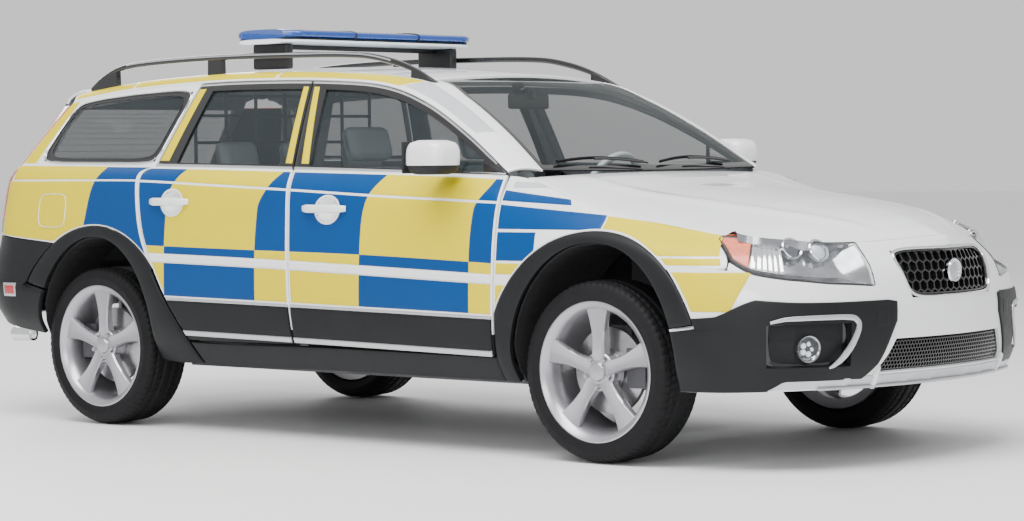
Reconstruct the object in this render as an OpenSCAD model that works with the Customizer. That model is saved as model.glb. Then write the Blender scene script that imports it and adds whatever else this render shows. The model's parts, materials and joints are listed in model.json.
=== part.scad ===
// Police patrol car: a crossover estate with a light bar, doors and lids that open,
// wheels that roll and front wheels that steer.
// X runs forward, Y to the car's left, Z up. The origin is on the ground in the middle.

/* [Overall sizes] */
// Length over the bumpers
length = 4838; // [4600:10:5000]
// Width over the door skins, mirrors left out
width = 1870; // [1780:10:1960]
// Height of the roof panel
roof_height = 1560; // [1500:5:1620]

/* [Wheels] */
// Outer diameter of the tyre
tyre_diameter = 696; // [660:2:710]
// Width of the tyre
tyre_width = 235; // [205:5:245]
// Diameter over the rim lip
rim_diameter = 534; // [500:2:560]
// Distance between the front tyre centres
front_track = 1604; // [1580:2:1620]
// Distance between the rear tyre centres
rear_track = 1590; // [1560:2:1620]

/* [Seams and skins] */
// Gap round every door and lid
seam = 6; // [5:0.5:8]
// Thickness of a flange or a plain skin
skin = 11; // [8:1:13]
// Thickness of the middle of a door
door_depth = 95; // [70:5:105]

/* [Light bar] */
// Length of the light bar across the car
bar_length = 1200; // [900:10:1300]
// Depth of the light bar, front to back
bar_depth = 400; // [300:10:440]
// Height of the light bar's case
bar_height = 70; // [50:2:90]

/* [Part to build] */
// One node name, or all

/* [Hidden] */

// The body is laid out at its nominal size and stretched to the sizes asked for
stretch = [length / 4838, width / 1870, roof_height / 1560];
hw = 935;
nose = 2419;
tail = -2419;
xf = 1389;
xr = -1426;
tyre_r = tyre_diameter / 2;
rim_r = rim_diameter / 2;
half_tyre = tyre_width / 2;
wheel_y = [front_track / 2, rear_track / 2];
join = 0.3;

// ---- the plan curve: a straight side with a rounded corner at each end ----
corner_f = 520;
turn_f = 68;
corner_r = 360;
turn_r = 74;
face_f = corner_f + (hw - corner_f) / cos(turn_f);
face_r = corner_r + (hw - corner_r) / cos(turn_r);
x_cf = nose - face_f - (corner_f - face_f) * sin(turn_f);
x_cr = tail + face_r + (corner_r - face_r) * sin(turn_r);
rad = PI / 180;
u_f = x_cf + corner_f * turn_f * rad;
u_nose = u_f + face_f * (90 - turn_f) * rad;
u_r = x_cr - corner_r * turn_r * rad;
u_tail = u_r - face_r * (90 - turn_r) * rad;

// Point and outward direction [x, y, nx, ny] at length u along the plan curve
function plan(u) =
  u > u_f ? let (a = turn_f + (u - u_f) / face_f / rad)
    arc(x_cf + (corner_f - face_f) * sin(turn_f),
        hw - corner_f + (corner_f - face_f) * cos(turn_f), face_f, a, 1) :
  u > x_cf ? arc(x_cf, hw - corner_f, corner_f, (u - x_cf) / corner_f / rad, 1) :
  u > x_cr ? [u, hw, 0, 1] :
  u > u_r ? arc(x_cr, hw - corner_r, corner_r, (x_cr - u) / corner_r / rad, -1) :
  let (a = turn_r + (u_r - u) / face_r / rad)
    arc(x_cr - (corner_r - face_r) * sin(turn_r),
        hw - corner_r + (corner_r - face_r) * cos(turn_r), face_r, a, -1);
function arc(cx, cy, r, a, s) = [cx + s * r * sin(a), cy + r * cos(a), s * sin(a), cos(a)];

// ---- curves through points ----
function seg(T, x, i = 0) = (i >= len(T) - 2 || x < T[i + 1][0]) ? i : seg(T, x, i + 1);
function slope(T, i) = let (a = max(i - 1, 0), b = min(i + 1, len(T) - 1))
  (T[b] - T[a]) / (T[b][0] - T[a][0]);
function cubic(p, q, m, n, s) = (2 * s * s * s - 3 * s * s + 1) * p
  + (s * s * s - 2 * s * s + s) * m + (3 * s * s - 2 * s * s * s) * q
  + (s * s * s - s * s) * n;
// Row of table T at x, its first column being the station
function row(T, x0) = let (x = min(max(x0, T[0][0]), T[len(T) - 1][0]), i = seg(T, x),
  h = T[i + 1][0] - T[i][0], s = (x - T[i][0]) / h)
  cubic(T[i], T[i + 1], h * slope(T, i), h * slope(T, i + 1), s);
function lerp(a, b, t) = a + (b - a) * t;
function steps(a, b, n) = [for (i = [0 : n]) a + (b - a) * i / n];
function flip(p) = [p[0], -p[1], p[2]];

// ---- feature lines of the lower body: [station, height, offset from the plan curve] ----
LINES = [
  [[u_tail, 470, -110], [-2300, 440, -70], [-1900, 400, -60], [-900, 292, -70],
   [0, 292, -70], [1000, 290, -70], [1900, 292, -40], [2300, 300, -45], [u_nose, 300, -70]],
  [[u_tail, 560, -30], [-2300, 540, -20], [-1900, 480, -16], [-900, 400, -14],
   [0, 400, -14], [1000, 395, -14], [1900, 400, -6], [2300, 400, -8], [u_nose, 400, -10]],
  [[u_tail, 700, 0], [-2300, 680, -4], [-1900, 620, 0], [-900, 560, 0],
   [0, 555, 0], [1000, 545, 0], [1900, 560, 0], [2300, 560, 0], [u_nose, 560, 0]],
  [[u_tail, 800, -60], [-2300, 800, -40], [-1900, 770, -14], [-900, 730, -2],
   [0, 715, -2], [1000, 690, -4], [1500, 700, -6], [1900, 690, -10], [2300, 650, -16],
   [u_nose, 660, -6]],
  [[u_tail, 900, -75], [-2300, 900, -52], [-1900, 900, -26], [-900, 880, -12],
   [0, 870, -12], [1000, 850, -18], [1500, 830, -26], [1900, 780, -44],
   [2300, 740, -60], [u_nose, 760, -20]],
  [[u_tail, 1075, -100], [-2300, 1080, -84], [-1900, 1080, -58], [-1080, 1072, -36],
   [-150, 1035, -32], [900, 985, -46], [1250, 945, -75], [1600, 898, -105],
   [1900, 856, -130], [2100, 842, -145], [2300, 828, -150], [2600, 820, -122], [u_nose, 840, -46]],
  [[u_tail, 1150, -130], [-2300, 1150, -112], [-1900, 1148, -98], [-1080, 1136, -94],
   [-150, 1115, -92], [600, 1096, -100], [850, 1092, -112], [1000, 1080, -112],
   [1150, 1030, -104], [1300, 980, -104], [1450, 944, -108], [1700, 898, -122],
   [1900, 868, -142], [2100, 852, -157], [2300, 838, -162], [2600, 830, -134], [u_nose, 850, -60]]];
belt = 6;

// Height and offset of the section at station u, level t (0 bottom edge ... 6 belt)
function level(u, k) = let (r = row(LINES[min(max(k, 0), belt)], u)) [r[1], r[2]];
function section(u, t) = let (k = min(floor(t), belt - 1), s = t - k, a = level(u, k - 1),
  b = level(u, k), c = level(u, k + 1), e = level(u, k + 2))
  cubic(b, c, (c - a) / 2, (e - b) / 2, s);
// Point on the lower body, sunk by g
function low(u, t, g = 0) = let (q = section(u, t), p = plan(u), d = q[1] - g)
  [p[0] + p[2] * d, p[1] + p[3] * d, q[0]];
// Level t that lies at height z
function at_height(u, z, a = 0, b = belt, n = 13) = n == 0 ? (a + b) / 2 :
  section(u, (a + b) / 2)[0] < z ? at_height(u, z, (a + b) / 2, b, n - 1)
                                 : at_height(u, z, a, (a + b) / 2, n - 1);

// ---- upper body lines: [station, x, y, z] ----
// Top edge of the door frames and quarter windows, from the A-pillar foot to the tail
EAVE = [[0, 895, 818, 1104], [1, 640, 768, 1262], [2, 370, 716, 1392], [3, 100, 680, 1466],
  [4, -265, 662, 1494], [5, -700, 655, 1503], [6, -1050, 653, 1498],
  [7, -1450, 655, 1480], [8, -1740, 662, 1450], [9, -1840, 668, 1436]];
// Edge of the windscreen, then of the roof
BROW = [[0, 985, 712, 1108], [1, 745, 652, 1268], [2, 500, 596, 1402], [3, 285, 552, 1482],
  [4, -200, 560, 1527], [5, -700, 568, 1541], [6, -1050, 570, 1537],
  [7, -1450, 572, 1519], [8, -1760, 574, 1488], [9, -1865, 575, 1474]];
function eave(w) = let (r = row(EAVE, w)) [r[1], r[2], r[3]];
function brow(w) = let (r = row(BROW, w)) [r[1], r[2], r[3]];
// Station on the eave at a given x
function eave_at(x, a = 0, b = 9, n = 16) = n == 0 ? (a + b) / 2 :
  eave((a + b) / 2)[0] > x ? eave_at(x, (a + b) / 2, b, n - 1) : eave_at(x, a, (a + b) / 2, n - 1);
// Point on the cabin side above the belt: s = 0 at the belt, 1 at the eave
function cabin(x, s, g = 0, lean = 0) = let (b = low(x, belt), e = eave(eave_at(x + lean)))
  [lerp(x, x + lean, s), lerp(b[1], e[1], s) + 16 * s * (1 - s) * 4 * 0.35 - g, lerp(b[2], e[2], s)];

// ---- solids from grids of points ----
// A holds the outer points and B the inner ones, both [column][row]; open(i, j) cells are holes
module shell(A, B, open = function (i, j) false) {
  n = len(A) - 1;
  m = len(A[0]) - 1;
  nm = (n + 1) * (m + 1);
  function id(i, j) = i * (m + 1) + j;
  function solid(i, j) = i >= 0 && i < n && j >= 0 && j < m && !open(i, j);
  function quad(a, b, c, d) = [[a, b, c], [a, c, d]];
  used = [for (i = [0 : n - 1], j = [0 : m - 1]) if (solid(i, j)) [i, j]];
  faces = [for (c = used) let (i = c[0], j = c[1], a = id(i, j), b = id(i + 1, j),
      e = id(i + 1, j + 1), f = id(i, j + 1))
    each concat(quad(a, f, e, b), quad(nm + a, nm + b, nm + e, nm + f),
      solid(i, j - 1) ? [] : quad(a, b, nm + b, nm + a),
      solid(i, j + 1) ? [] : quad(e, f, nm + f, nm + e),
      solid(i - 1, j) ? [] : quad(f, a, nm + a, nm + f),
      solid(i + 1, j) ? [] : quad(b, e, nm + e, nm + b))];
  polyhedron([for (c = A) each c, for (c = B) each c], faces, convexity = 8);
}
module both() { children(); mirror([0, 1, 0]) children(); }
module box(a, b) { translate(a) cube(b - a); }
module bar_y(x, z, y0, y1, r) { translate([x, y0, z]) rotate([-90, 0, 0]) cylinder(r = r, h = y1 - y0); }
module block(a, b, r) {
  hull() for (x = [a[0] + r, b[0] - r], y = [a[1] + r, b[1] - r], z = [a[2] + r, b[2] - r])
    translate([x, y, z]) sphere(r = r, $fn = 12);
}

// ---- cut lines of the side, as functions of the level ----
B_CUT = [[0, -165], [1, -180], [2, -200], [3, -210], [4, -218], [5, -228], [6, -258]];
C_CUT = [[0, -780], [1, -830], [2, -955], [3, -1060], [4, -1128], [5, -1162], [5.6, -1156], [6, -1106]];
D_CUT = [[3, -2135], [4, -2135], [5, -2120], [6, -2036]];
door_front = 910;
function b_cut(t) = row(B_CUT, t)[1];
function c_cut(t) = row(C_CUT, t)[1];
function d_cut(t) = row(D_CUT, t)[1];
// Frame edges at the eave: B, C and D posts
b_top = -312;
c_top = -1004;
d_top = -1838;

// ---- doors ----
// Grid of a door: columns at fractions fr from front to back, levels lo below the belt,
// then the window rows
function door_grid(fr, lo, front, back, top_front, top_back, sunk) =
  [for (i = [0 : len(fr) - 1]) concat(
    [for (j = [0 : len(lo) - 1]) low(lerp(front(lo[j]), back(lo[j]), fr[i]), lo[j], sunk(i, j))],
    [for (j = [0 : 2]) let (x = lerp(front(belt), back(belt), fr[i]),
        xt = lerp(top_front, top_back, fr[i]),
        h = eave(eave_at(xt))[2] - low(x, belt)[2],
        top = max(0.3, 1 - 1.6 * seam / h),
        s = [0.05, max(0.12, min(1 - (seam + 34) / h, top - 0.08)), top][j])
      cabin(x, s, sunk(i, len(lo) + j), xt - x)])];
module door(fr, lo, front, back, top_front, top_back, frame, flange) {
  n = len(fr) - 1;
  k = len(lo);
  depth = function (i, j) j >= k ? (i == n ? 14 : 30) :
    (i <= flange[0] || i >= n - flange[1] || j <= 1) ? skin : j == k - 1 ? 45 : door_depth;
  shell(door_grid(fr, lo, front, back, top_front, top_back, function (i, j) 0),
    door_grid(fr, lo, front, back, top_front, top_back, depth),
    function (i, j) j == k && i >= frame[0] && i < n - frame[1]);
}
module door_glass(fr, lo, front, back, top_front, top_back, frame) {
  n = len(fr) - 1;
  k = len(lo);
  grid = function (g) let (a = door_grid(fr, lo, front, back, top_front, top_back,
    function (i, j) g)) [for (i = [frame[0] : n - frame[1]]) [a[i][k], a[i][k + 1]]];
  shell(grid(8), grid(13));
}
FRONT_COLS = [0, 0.05, 0.1, 0.2, 0.32, 0.45, 0.58, 0.71, 0.84, 0.905, 0.95, 1];
REAR_COLS = [0, 0.05, 0.12, 0.25, 0.4, 0.55, 0.7, 0.82, 0.9, 0.95, 1];
DOOR_LEVELS = [1, 1.25, 1.5, 2, 2.5, 3, 3.5, 4, 4.5, 5, 5.5, 6];
front_edge = function (t) door_front - seam / 2 - (t > 5 ? 14 * (t - 5) : 0);
b_front = function (t) b_cut(t) + seam / 2;
b_back = function (t) b_cut(t) - seam / 2;
c_front = function (t) c_cut(t) + seam;
module front_door() { color("white") door(FRONT_COLS, DOOR_LEVELS, front_edge, b_front,
  878, b_top + seam / 2, [2, 1], [2, 2]); }
module rear_door() { color("white") door(REAR_COLS, DOOR_LEVELS, b_back, c_front,
  b_top - seam / 2, c_top + seam, [1, 1], [2, 1]); }
module front_door_glass() { color("lightblue") door_glass(FRONT_COLS, DOOR_LEVELS, front_edge,
  b_front, 878, b_top + seam / 2, [2, 1]); }
module rear_door_glass() { color("lightblue") door_glass(REAR_COLS, DOOR_LEVELS, b_back, c_front,
  b_top - seam / 2, c_top + seam, [1, 1]); }
module mirror_housing() {
  color("white") {
    block([562, 905, 1094], [758, 1078, 1231], 34);
    hull() {
      shell([for (u = [815, 755]) [low(u, 5.74, -2), low(u, 5.96, -2)]],
        [for (u = [815, 755]) [low(u, 5.74, -0.6), low(u, 5.96, -0.6)]]);
      translate([680, 945, 1085]) cube([60, 12, 30]);
    }
  }
}

// ---- wheel arches ----
arch_z = 365;
function arch_hole(c, a, f) = [c[0] + c[1] * a * cos(f), arch_z + c[2] * sin(f)];
FRONT_ARCH = [xf, -1, 470];
REAR_ARCH = [xr, 1, 465];
front_a = 400;
rear_a = 378;
trim_r = 512;
// Height of the outer edge of the arch trim at x, round the axle at c
function trim_z(c, x) = 368 + sqrt(max(0, trim_r * trim_r - (x - c) * (x - c)));
function on_side(p, g) = low(p[0], at_height(p[0], p[1]), g);
module arch_trim(c, a, edge, fs) {
  pts = function (g) [for (f = fs) let (p = arch_hole(c, a, f), q = edge(f))
    [for (s = [0, 0.5, 1]) on_side(p + (q - p) * s, g * (1 - s / 2))]];
  if (c[1] < 0) shell(pts(24), pts(0)); else shell(pts(0), pts(24));
}
// Angles round the arch; the panels above share the ones in the middle
front_mid = steps(21.6, 133.4, 16);
rear_mid = steps(40, 122.5, 12);
front_angles = concat(steps(-9, 15, 4), front_mid, [139, 146, 153, 160]);
rear_angles = concat(steps(-9, 34, 6), rear_mid, [129, 136, 143, 150]);
front_edge_of_trim = function (f) f < 21
  ? [door_front + seam / 2, lerp(294, 556, (f + 9) / 30.6)]
  : [max(xf - trim_r * cos(f), door_front + seam / 2), 368 + trim_r * sin(f)];
rear_edge_of_trim = function (f) f < 39
  ? let (z = lerp(294, 697, (f + 9) / 49)) [c_cut(at_height(-1000, z)) - seam - 3, z]
  : [xr + trim_r * cos(f), 368 + trim_r * sin(f)];
module arch_trims() { color("#333") both() {
  arch_trim(FRONT_ARCH, front_a, front_edge_of_trim, front_angles);
  arch_trim(REAR_ARCH, rear_a, rear_edge_of_trim, rear_angles);
} }
// Liner of a wheel arch, from y0 out to the back of the trim
module liner(c, a, y0, fs) {
  y1 = [for (f = fs) on_side(arch_hole(c, a, f), f < 6 ? 32 : 25.6)[1]];
  pts = function (g) [for (k = [0 : len(fs) - 1]) let (s = (a + g) / a, p = arch_hole(c, a, fs[k]))
    [for (y = [y0, y1[k]]) [c[0] + (p[0] - c[0]) * s, y, arch_z + (p[1] - arch_z) * s]]];
  if (c[1] < 0) shell(pts(4), pts(-4)); else shell(pts(-4), pts(4));
}
module wheel_liners() { color("#222") both() {
  liner(FRONT_ARCH, front_a, 500, front_angles);
  liner(REAR_ARCH, rear_a, 655, concat(rear_angles, [160, 170, 180]));
} }

// ---- sides ----
module sills() { color("#333") both() {
  fr = steps(0, 1, 10);
  ts = [0, 0.3, 0.6, 0.92];
  u = function (f, t) lerp(door_front + seam / 2 - join, c_cut(t) + 8, f);
  shell([for (f = fr) [for (t = ts) low(u(f, t), t)]],
    [for (f = fr) [for (t = ts) let (p = low(u(f, t), t)) [p[0], 735 + join, p[2]]]]);
} }
module post(rows) {
  shell([for (i = [0, 1]) [for (r = rows) [r[1 + i], r[3], r[0]]]],
    [for (i = [0, 1]) [for (r = rows) [r[1 + i], r[4], r[0]]]]);
}
module pillars() { color("white") both() {
  post([[389.8, -122, -168, 905, 800], [560, -130, -175, 915, 800], [1000, -152, -200, 880, 770],
    [1112, -190, -235, 800, 740], [1494.4, -246, -288, 624, 588]]);
  us = [978, 930];
  ts = [0.93, 2, 3, 4, 5, 5.6];
  shell([for (u = us) [for (t = ts) low(u, t, 26)]],
    [for (u = us) [for (t = ts) let (p = low(u, t)) [p[0], 735 + join, p[2]]]]);
} }
// Height of the seam between fender and bumper
fender_low = 745;
FENDER_FRONT = [[3.4, 1988], [4.0, 1996], [4.3, 1982], [4.85, 1920], [5.2, 1913], [6, 1913]];
module front_fenders() { color("white") both() {
  m = 8;
  xs = concat([for (f = front_mid) max(xf - trim_r * cos(f), door_front + seam / 2)],
    [1820, 1905, 1988]);
  n = len(xs) - 1;
  z0 = function (x) x < 1742 ? trim_z(xf, x) : fender_low;
  t0 = function (i) at_height(xs[i], z0(xs[i]) + join);
  u_of = function (i, j) let (t = lerp(t0(n), belt, j / m), f = (xs[i] - xs[0]) / (xs[n] - xs[0]))
    j == 0 ? xs[i] : lerp(xs[0], row(FENDER_FRONT, t)[1], f);
  grid = function (g) [for (i = [n : -1 : 0]) [for (j = [0 : m])
    let (t = lerp(t0(i), belt, j / m)) low(u_of(i, j), t, t > 4.9 ? min(g, 3) : g)]];
  shell(grid(0), grid(skin));
} }
quarter_xs = concat([for (f = rear_mid) xr + trim_r * cos(f)], [-1790, -1890, -1985, -2132]);
quarter_n = len(quarter_xs) - 1;
QUARTER_COLS = [for (x = quarter_xs) (x - quarter_xs[0]) / (quarter_xs[quarter_n] - quarter_xs[0])];
pane_first = 1;
pane_last = quarter_n - 1;
function quarter_top(x, xt, s, g) = let (b = low(x, belt), e = eave(eave_at(xt)))
  [lerp(b[0], e[0], s), lerp(b[1], e[1], s) + 22 * s * (1 - s) - g, lerp(b[2], e[2], s)];
module rear_quarters() { color("white") both() {
  m = 7;
  n = quarter_n;
  z0 = function (x) x > -1702 ? trim_z(xr, x) + join : lerp(801, 832, (-1702 - x) / 400);
  t_of = function (i, j) lerp(at_height(quarter_xs[i], z0(quarter_xs[i])), belt, j / m);
  u_of = function (i, j) j == 0 ? quarter_xs[i] :
    lerp(c_cut(t_of(0, j)) - seam / 2, d_cut(t_of(n, j)), QUARTER_COLS[i]);
  grid = function (g) [for (i = [0 : n]) concat(
    [for (j = [0 : m]) low(u_of(i, j), t_of(i, j), g)],
    [for (s = [0.05, 0.9, 0.9975]) let (x = u_of(i, m),
      xt = lerp(c_top - seam / 2, d_top, QUARTER_COLS[i])) quarter_top(x, xt, s, g)])];
  shell(grid(0), concat([grid(12)[0]], [for (i = [1 : n]) grid(30)[i]]),
    function (i, j) j == m + 1 && i >= pane_first && i < pane_last);
} }
module quarter_windows() { color("lightblue") both() {
  cols = [for (k = [pane_first : pane_last]) QUARTER_COLS[k]];
  grid = function (g) [for (c = cols) [for (s = [0.05, 0.9])
    quarter_top(lerp(c_cut(belt) - seam / 2, d_cut(belt), c), lerp(c_top - seam / 2, d_top, c), s, g)]];
  shell(grid(8), grid(13));
} }
module cant_rails() { color("white") both() {
  ws = steps(0, 9, 36);
  shell([for (w = ws) [for (s = [0, 0.35, 0.7, 1]) rail_point(w, s)]],
    [for (w = ws) [for (s = [0, 0.35, 0.7, 1]) rail_point(w, s) + [0, -lerp(42, 0, s), lerp(2, -30, s)]]]);
} }
// Rounded section between eave and brow
function rail_point(w, s) = let (a = eave(w), b = brow(w))
  [lerp(a[0], b[0], s), lerp(a[1], b[1], s) + 14 * 4 * s * (1 - s) * 0.6,
   lerp(a[2], b[2], s) + 14 * 4 * s * (1 - s) * 0.8];

// ---- roof, screens and lids ----
module roof() { color("white") {
  ws = concat(steps(3, 8.75, 23), [8.97]);
  vs = steps(-1, 1, 12);
  pts = function (g) [for (w = ws) [for (v = vs) let (b = brow(w), k = 1 - v * v)
    [b[0] + (w < 4 ? 30 * (4 - w) : 0) * k - (w > 7 ? 10 * (w - 7) : 0) * k,
     -v * (b[1] - join), b[2] + 26 * k - g]]];
  shell(pts(0), pts(26));
} }
module windscreen() { color("lightblue") {
  ws = steps(0.02, 2.96, 10);
  vs = steps(-1, 1, 12);
  pts = function (g) [for (w = ws) [for (v = vs) screen(w, v, g)]];
  shell(pts(0), pts(6));
} }
// Point on the windscreen at brow station w, v across, sunk by g
function screen(w, v, g) = let (b = brow(w), k = 1 - v * v)
  [b[0] + (38 - 3 * w) * k - g, -v * (b[1] - 2.8 - join), b[2] + (-8 + 5 * w) * k - g * 0.8];
// ---- bonnet: sides k = 0 at the screen to 1 at the lamp corner, v across ----
hood_back = 997;
hood_corner = 2600;
function hood_side(k) = low(lerp(hood_back, hood_corner, k), belt, seam + 4);
function hood_front(v) = let (p = low(lerp(u_nose, hood_corner, abs(v)), belt, seam + 4))
  [p[0], sign(v) * p[1], p[2]];
CROWN = [[0, 14], [0.1, 44], [0.3, 88], [0.55, 104], [0.8, 76], [0.93, 35], [1, 0]];
function hood(k, v) = let (p = hood_side(k), c = 1 - pow(abs(v), 2.4), q = hood_side(1))
  [p[0] + 46 * (1 - v * v) * pow(1 - k, 3), v * p[1], p[2] + row(CROWN, k)[1] * c]
  + pow(k, 3) * (hood_front(v) - [q[0], v * q[1], q[2]]);
module bonnet() { color("white") {
  ks = steps(0, 1, 18);
  vs = steps(-1, 1, 16);
  pts = function (g) [for (k = ks) [for (v = vs) hood(k, v)
    - [0, 0, (abs(v) > 0.99 || k > 0.9 || k == 0) ? min(g, skin) : g]]];
  shell(pts(0), pts(24));
} }
TAILGATE = [[840, 596, -2352, -2318], [900, 598, -2346, -2306], [1000, 600, -2332, -2284],
  [1080, 600, -2314, -2256], [1140, 600, -2296, -2228], [1300, 590, -2205, -2120],
  [1420, 572, -2118, -2020], [1462, 566, -2092, -1985], [1484, 566, -1990, -1925],
  [1492, 566, -1892, -1873]];
function gate(k, v, g = 0) = let (r = TAILGATE[k], c = 1 - pow(abs(v), 2.2))
  [lerp(r[3], r[2], c) + (k < 7 ? g : 0), -v * r[1], r[0] + (k > 6 ? 22 * c - g : 0)];
module tailgate() { color("white") {
  vs = [-1, -0.93, -0.8, -0.55, -0.28, 0, 0.28, 0.55, 0.8, 0.93, 1];
  pts = function (g) [for (v = vs) [for (k = [0 : len(TAILGATE) - 1])
    gate(k, v, g)]];
  shell(pts(0), [for (v = vs) [for (k = [0 : len(TAILGATE) - 1])
    gate(k, v, k < 4 ? 70 : k < 7 ? 36 : 24)]],
    function (i, j) (j == 4 || j == 5) && i >= 1 && i < 9);
} }
module tailgate_glass() { color("lightblue") {
  vs = [-0.93, -0.8, -0.55, -0.28, 0, 0.28, 0.55, 0.8, 0.93];
  pts = function (g) [for (v = vs) [for (k = [4 : 6]) gate(k, v, g)]];
  shell(pts(8), pts(13));
} }

// ---- nose ----
// Lower edge of the lamp, and of the fender seam behind it, as a level
LAMP_LOW = [[2006, 4.0], [2060, 3.75], [2100, 3.62], [2200, 3.55], [2300, 3.5], [2400, 3.4],
  [2500, 3.33], [2620, 3.22]];
lamp_end = 2620;
function lamp_low(u) = u < 2002 ? at_height(u, fender_low - seam) : row(LAMP_LOW, u)[1];
function bumper_start(t) = let (z = section(1800, t)[0]) z < 525
  ? xf + front_a * sqrt(1 - pow((z - arch_z) / 470, 2)) + 1
  : xf + sqrt(max(0, trim_r * trim_r - (z - 368) * (z - 368))) + 2.6;
function grille_side(t) = t < 0.62 ? 2650 : t < 1.5 ? lerp(2650, 2790, (t - 0.62) / 0.86)
  : min(2850, lerp(2790, 2850, (t - 1.48) / 1.2));
NOSE_US = [1998, 2006, 2080, 2160, 2260, 2360, 2460, 2540, 2605, 2620];
NOSE_TS = [0, 0.42, 0.62, 1.48, 1.72, 1.86, 2.1, 2.65, 3.15];
seam_row = 9;
function nose_t(i, j) = j < seam_row ? NOSE_TS[j] : i <= 10
  ? lerp(lamp_low(nose_u(i, 3.5)), 5.9, (j - seam_row) / 2) : [3.8, 4.58, 5.9][j - seam_row];
function nose_u(i, t) = i <= 2 ? lerp(bumper_start(t), NOSE_US[0], i / 2) : i <= 11 ?
  NOSE_US[i - 2] : lerp(grille_side(t), u_nose, (i - 12) / 4);
function nose_point(i, j, g, thin) = let (t0 = nose_t(i, j), t = j == seam_row && i <= 2 ?
  at_height(nose_u(i, 3.4), fender_low - seam) : t0)
  low(nose_u(i, t), t, (thin && t > 4.4) ? min(g, t > 4.9 ? 3 : 12) : g);
function nose_grid(g, thin = false) = concat(
  [for (i = [0 : 16]) [for (j = [0 : 11]) flip(nose_point(i, j, g, thin))]],
  [for (i = [15 : -1 : 0]) [for (j = [0 : 11]) nose_point(i, j, g, thin)]]);
function nose_open(i, j) = let (c = i > 15 ? 31 - i : i)
  (c <= 10 && j >= seam_row) || (c >= 5 && c <= 7 && j >= 2 && j <= 5)
  || (c >= 12 && (j == 2 || (j >= 7 && j <= 9)));
module front_bumper() { color("white") {
  shell(nose_grid(0), nose_grid(22, true), function (i, j) nose_open(i, j));
} }
// A plate filling one opening of the nose, sunk by g0 and g1
module nose_fill(i0, i1, j0, j1, g0, g1) {
  grid = function (g) let (a = nose_grid(g)) [for (i = [i0 : i1]) [for (j = [j0 : j1]) a[i][j]]];
  shell(grid(g0), grid(g1));
}
module upper_grille() { color("#222") nose_fill(12, 20, 7, 10, 22.5, 40); }
module lower_grille() { color("#222") nose_fill(12, 20, 2, 3, 22.5, 40); }
module fog_lamps() { color("#ddd") {
  nose_fill(5, 8, 2, 6, 22.5, 60);
  nose_fill(24, 27, 2, 6, 22.5, 60);
} }
module headlamps() { color("#eee") both() {
  us = [2608, 2540, 2460, 2360, 2260, 2160, 2080, 2015, 1965, 1925];
  low_t = function (u) u < 2010 ? lerp(4.9, 4.15, (u - 1925) / 85) : lamp_low(u) + 0.12;
  pts = function (g) [for (u = us) [for (s = [0, 0.33, 0.67, 1])
    low(u, lerp(low_t(u), 5.93, s),
      min(g, (u < 2000 ? 0.3 : 1) * [70, 45, 10, 8][round(s * 3)], s == 1 ? 3 : g))]];
  shell(pts(0), pts(70));
} }
module skid_plate() { color("silver") nose_fill(5, 27, 0, 1, -6, -0.6); }

// ---- tail ----
function rear_low(u) = u > -1701 ? trim_z(xr, u) : lerp(801, 832, min(1, (-1701 - u) / 400));
function rear_start(t) = let (z = section(-1760, t)[0]) z < 600
  ? xr - rear_a * sqrt(1 - pow((z - arch_z) / 465, 2)) - 5.6
  : xr - sqrt(max(0, trim_r * trim_r - (z - 368) * (z - 368))) - 4.6;
module rear_bumper() { color("#333") {
  us = [-1900, -2010, -2120, -2220, -2320, -2430, -2560, -2720, -2900, u_tail];
  ts = [0, 0.45, 0.9, 1.35, 1.86, 2.04, 2.5, 2.85];
  top = function (u) at_height(u, rear_low(u) - 3);
  col = function (i, g) [for (t = concat(ts, [top(i < 0 ? -1715 : us[i])]))
    low(i < 0 ? rear_start(t) : us[i], t, g)];
  half = function (g) [for (i = [-1 : len(us) - 1]) col(i, g)];
  whole = function (g) let (h = half(g)) concat(h,
    [for (i = [len(h) - 2 : -1 : 0]) [for (p = h[i]) flip(p)]]);
  shell(whole(0), whole(24));
} }
module tail_lamps() { color("red") both() {
  rows = [0 : 6];
  d = function (k) let (z = TAILGATE[k][0]) k <= 4
    ? low(d_cut(at_height(-2110, z)) - 9, at_height(-2110, z))
    : quarter_top(d_cut(belt), d_top, (z - 1150) / (1437 - 1150), 0) - [6, 0, 0];
  e = function (k) let (r = TAILGATE[k]) [r[3], r[1] + seam, r[0]];
  mid = function (k) (d(k) + e(k)) / 2 + [-0.7, 0.7, 0] * (k < 4 ? 36 : 10);
  shell([[for (k = rows) d(k)], [for (k = rows) mid(k)], [for (k = rows) e(k)]],
    [[for (k = rows) d(k) - [8, 36, 0]], [for (k = rows) mid(k) + [45, -45, 0]],
     [for (k = rows) e(k) + [60, 0, 0]]]);
} }

// ---- roof rails and light bar ----
RAIL_TOP = [[-1790, 1500], [-1720, 1545], [-1600, 1590], [-1430, 1610], [-1000, 1622],
  [-500, 1619], [-100, 1606], [80, 1574], [210, 1532], [330, 1476]];
rail_high = function (x) row(RAIL_TOP, x)[1];
module roof_rails() { color("#222") both() {
  ws = steps(2.95, 8.0, 60);
  foot = function (x) (x > -1010 && x < -930) || x > 190 || x < -1610;
  top = [for (w = ws) [for (s = [0.58, 0.95]) let (p = rail_point(w, s))
    [p[0], p[1], max(rail_high(p[0]), p[2] + 7)]]];
  base = [for (w = ws) [for (s = [0.58, 0.95]) let (p = rail_point(w, s), z = rail_high(p[0]))
    [p[0], p[1], max(foot(p[0]) ? 0 : z - 26, p[2] + 1.7)]]];
  shell(top, base);
} }
bar_x = -690;
bar_z = 1656;
module lightbar_feet() { color("#222") {
  both() {
    box([bar_x - 100, 508, 1547], [bar_x + 110, 552, bar_z]);
  }
  box([bar_x - 40, -507.7, bar_z - 40], [bar_x + 40, 507.7, bar_z]);
} }
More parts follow.
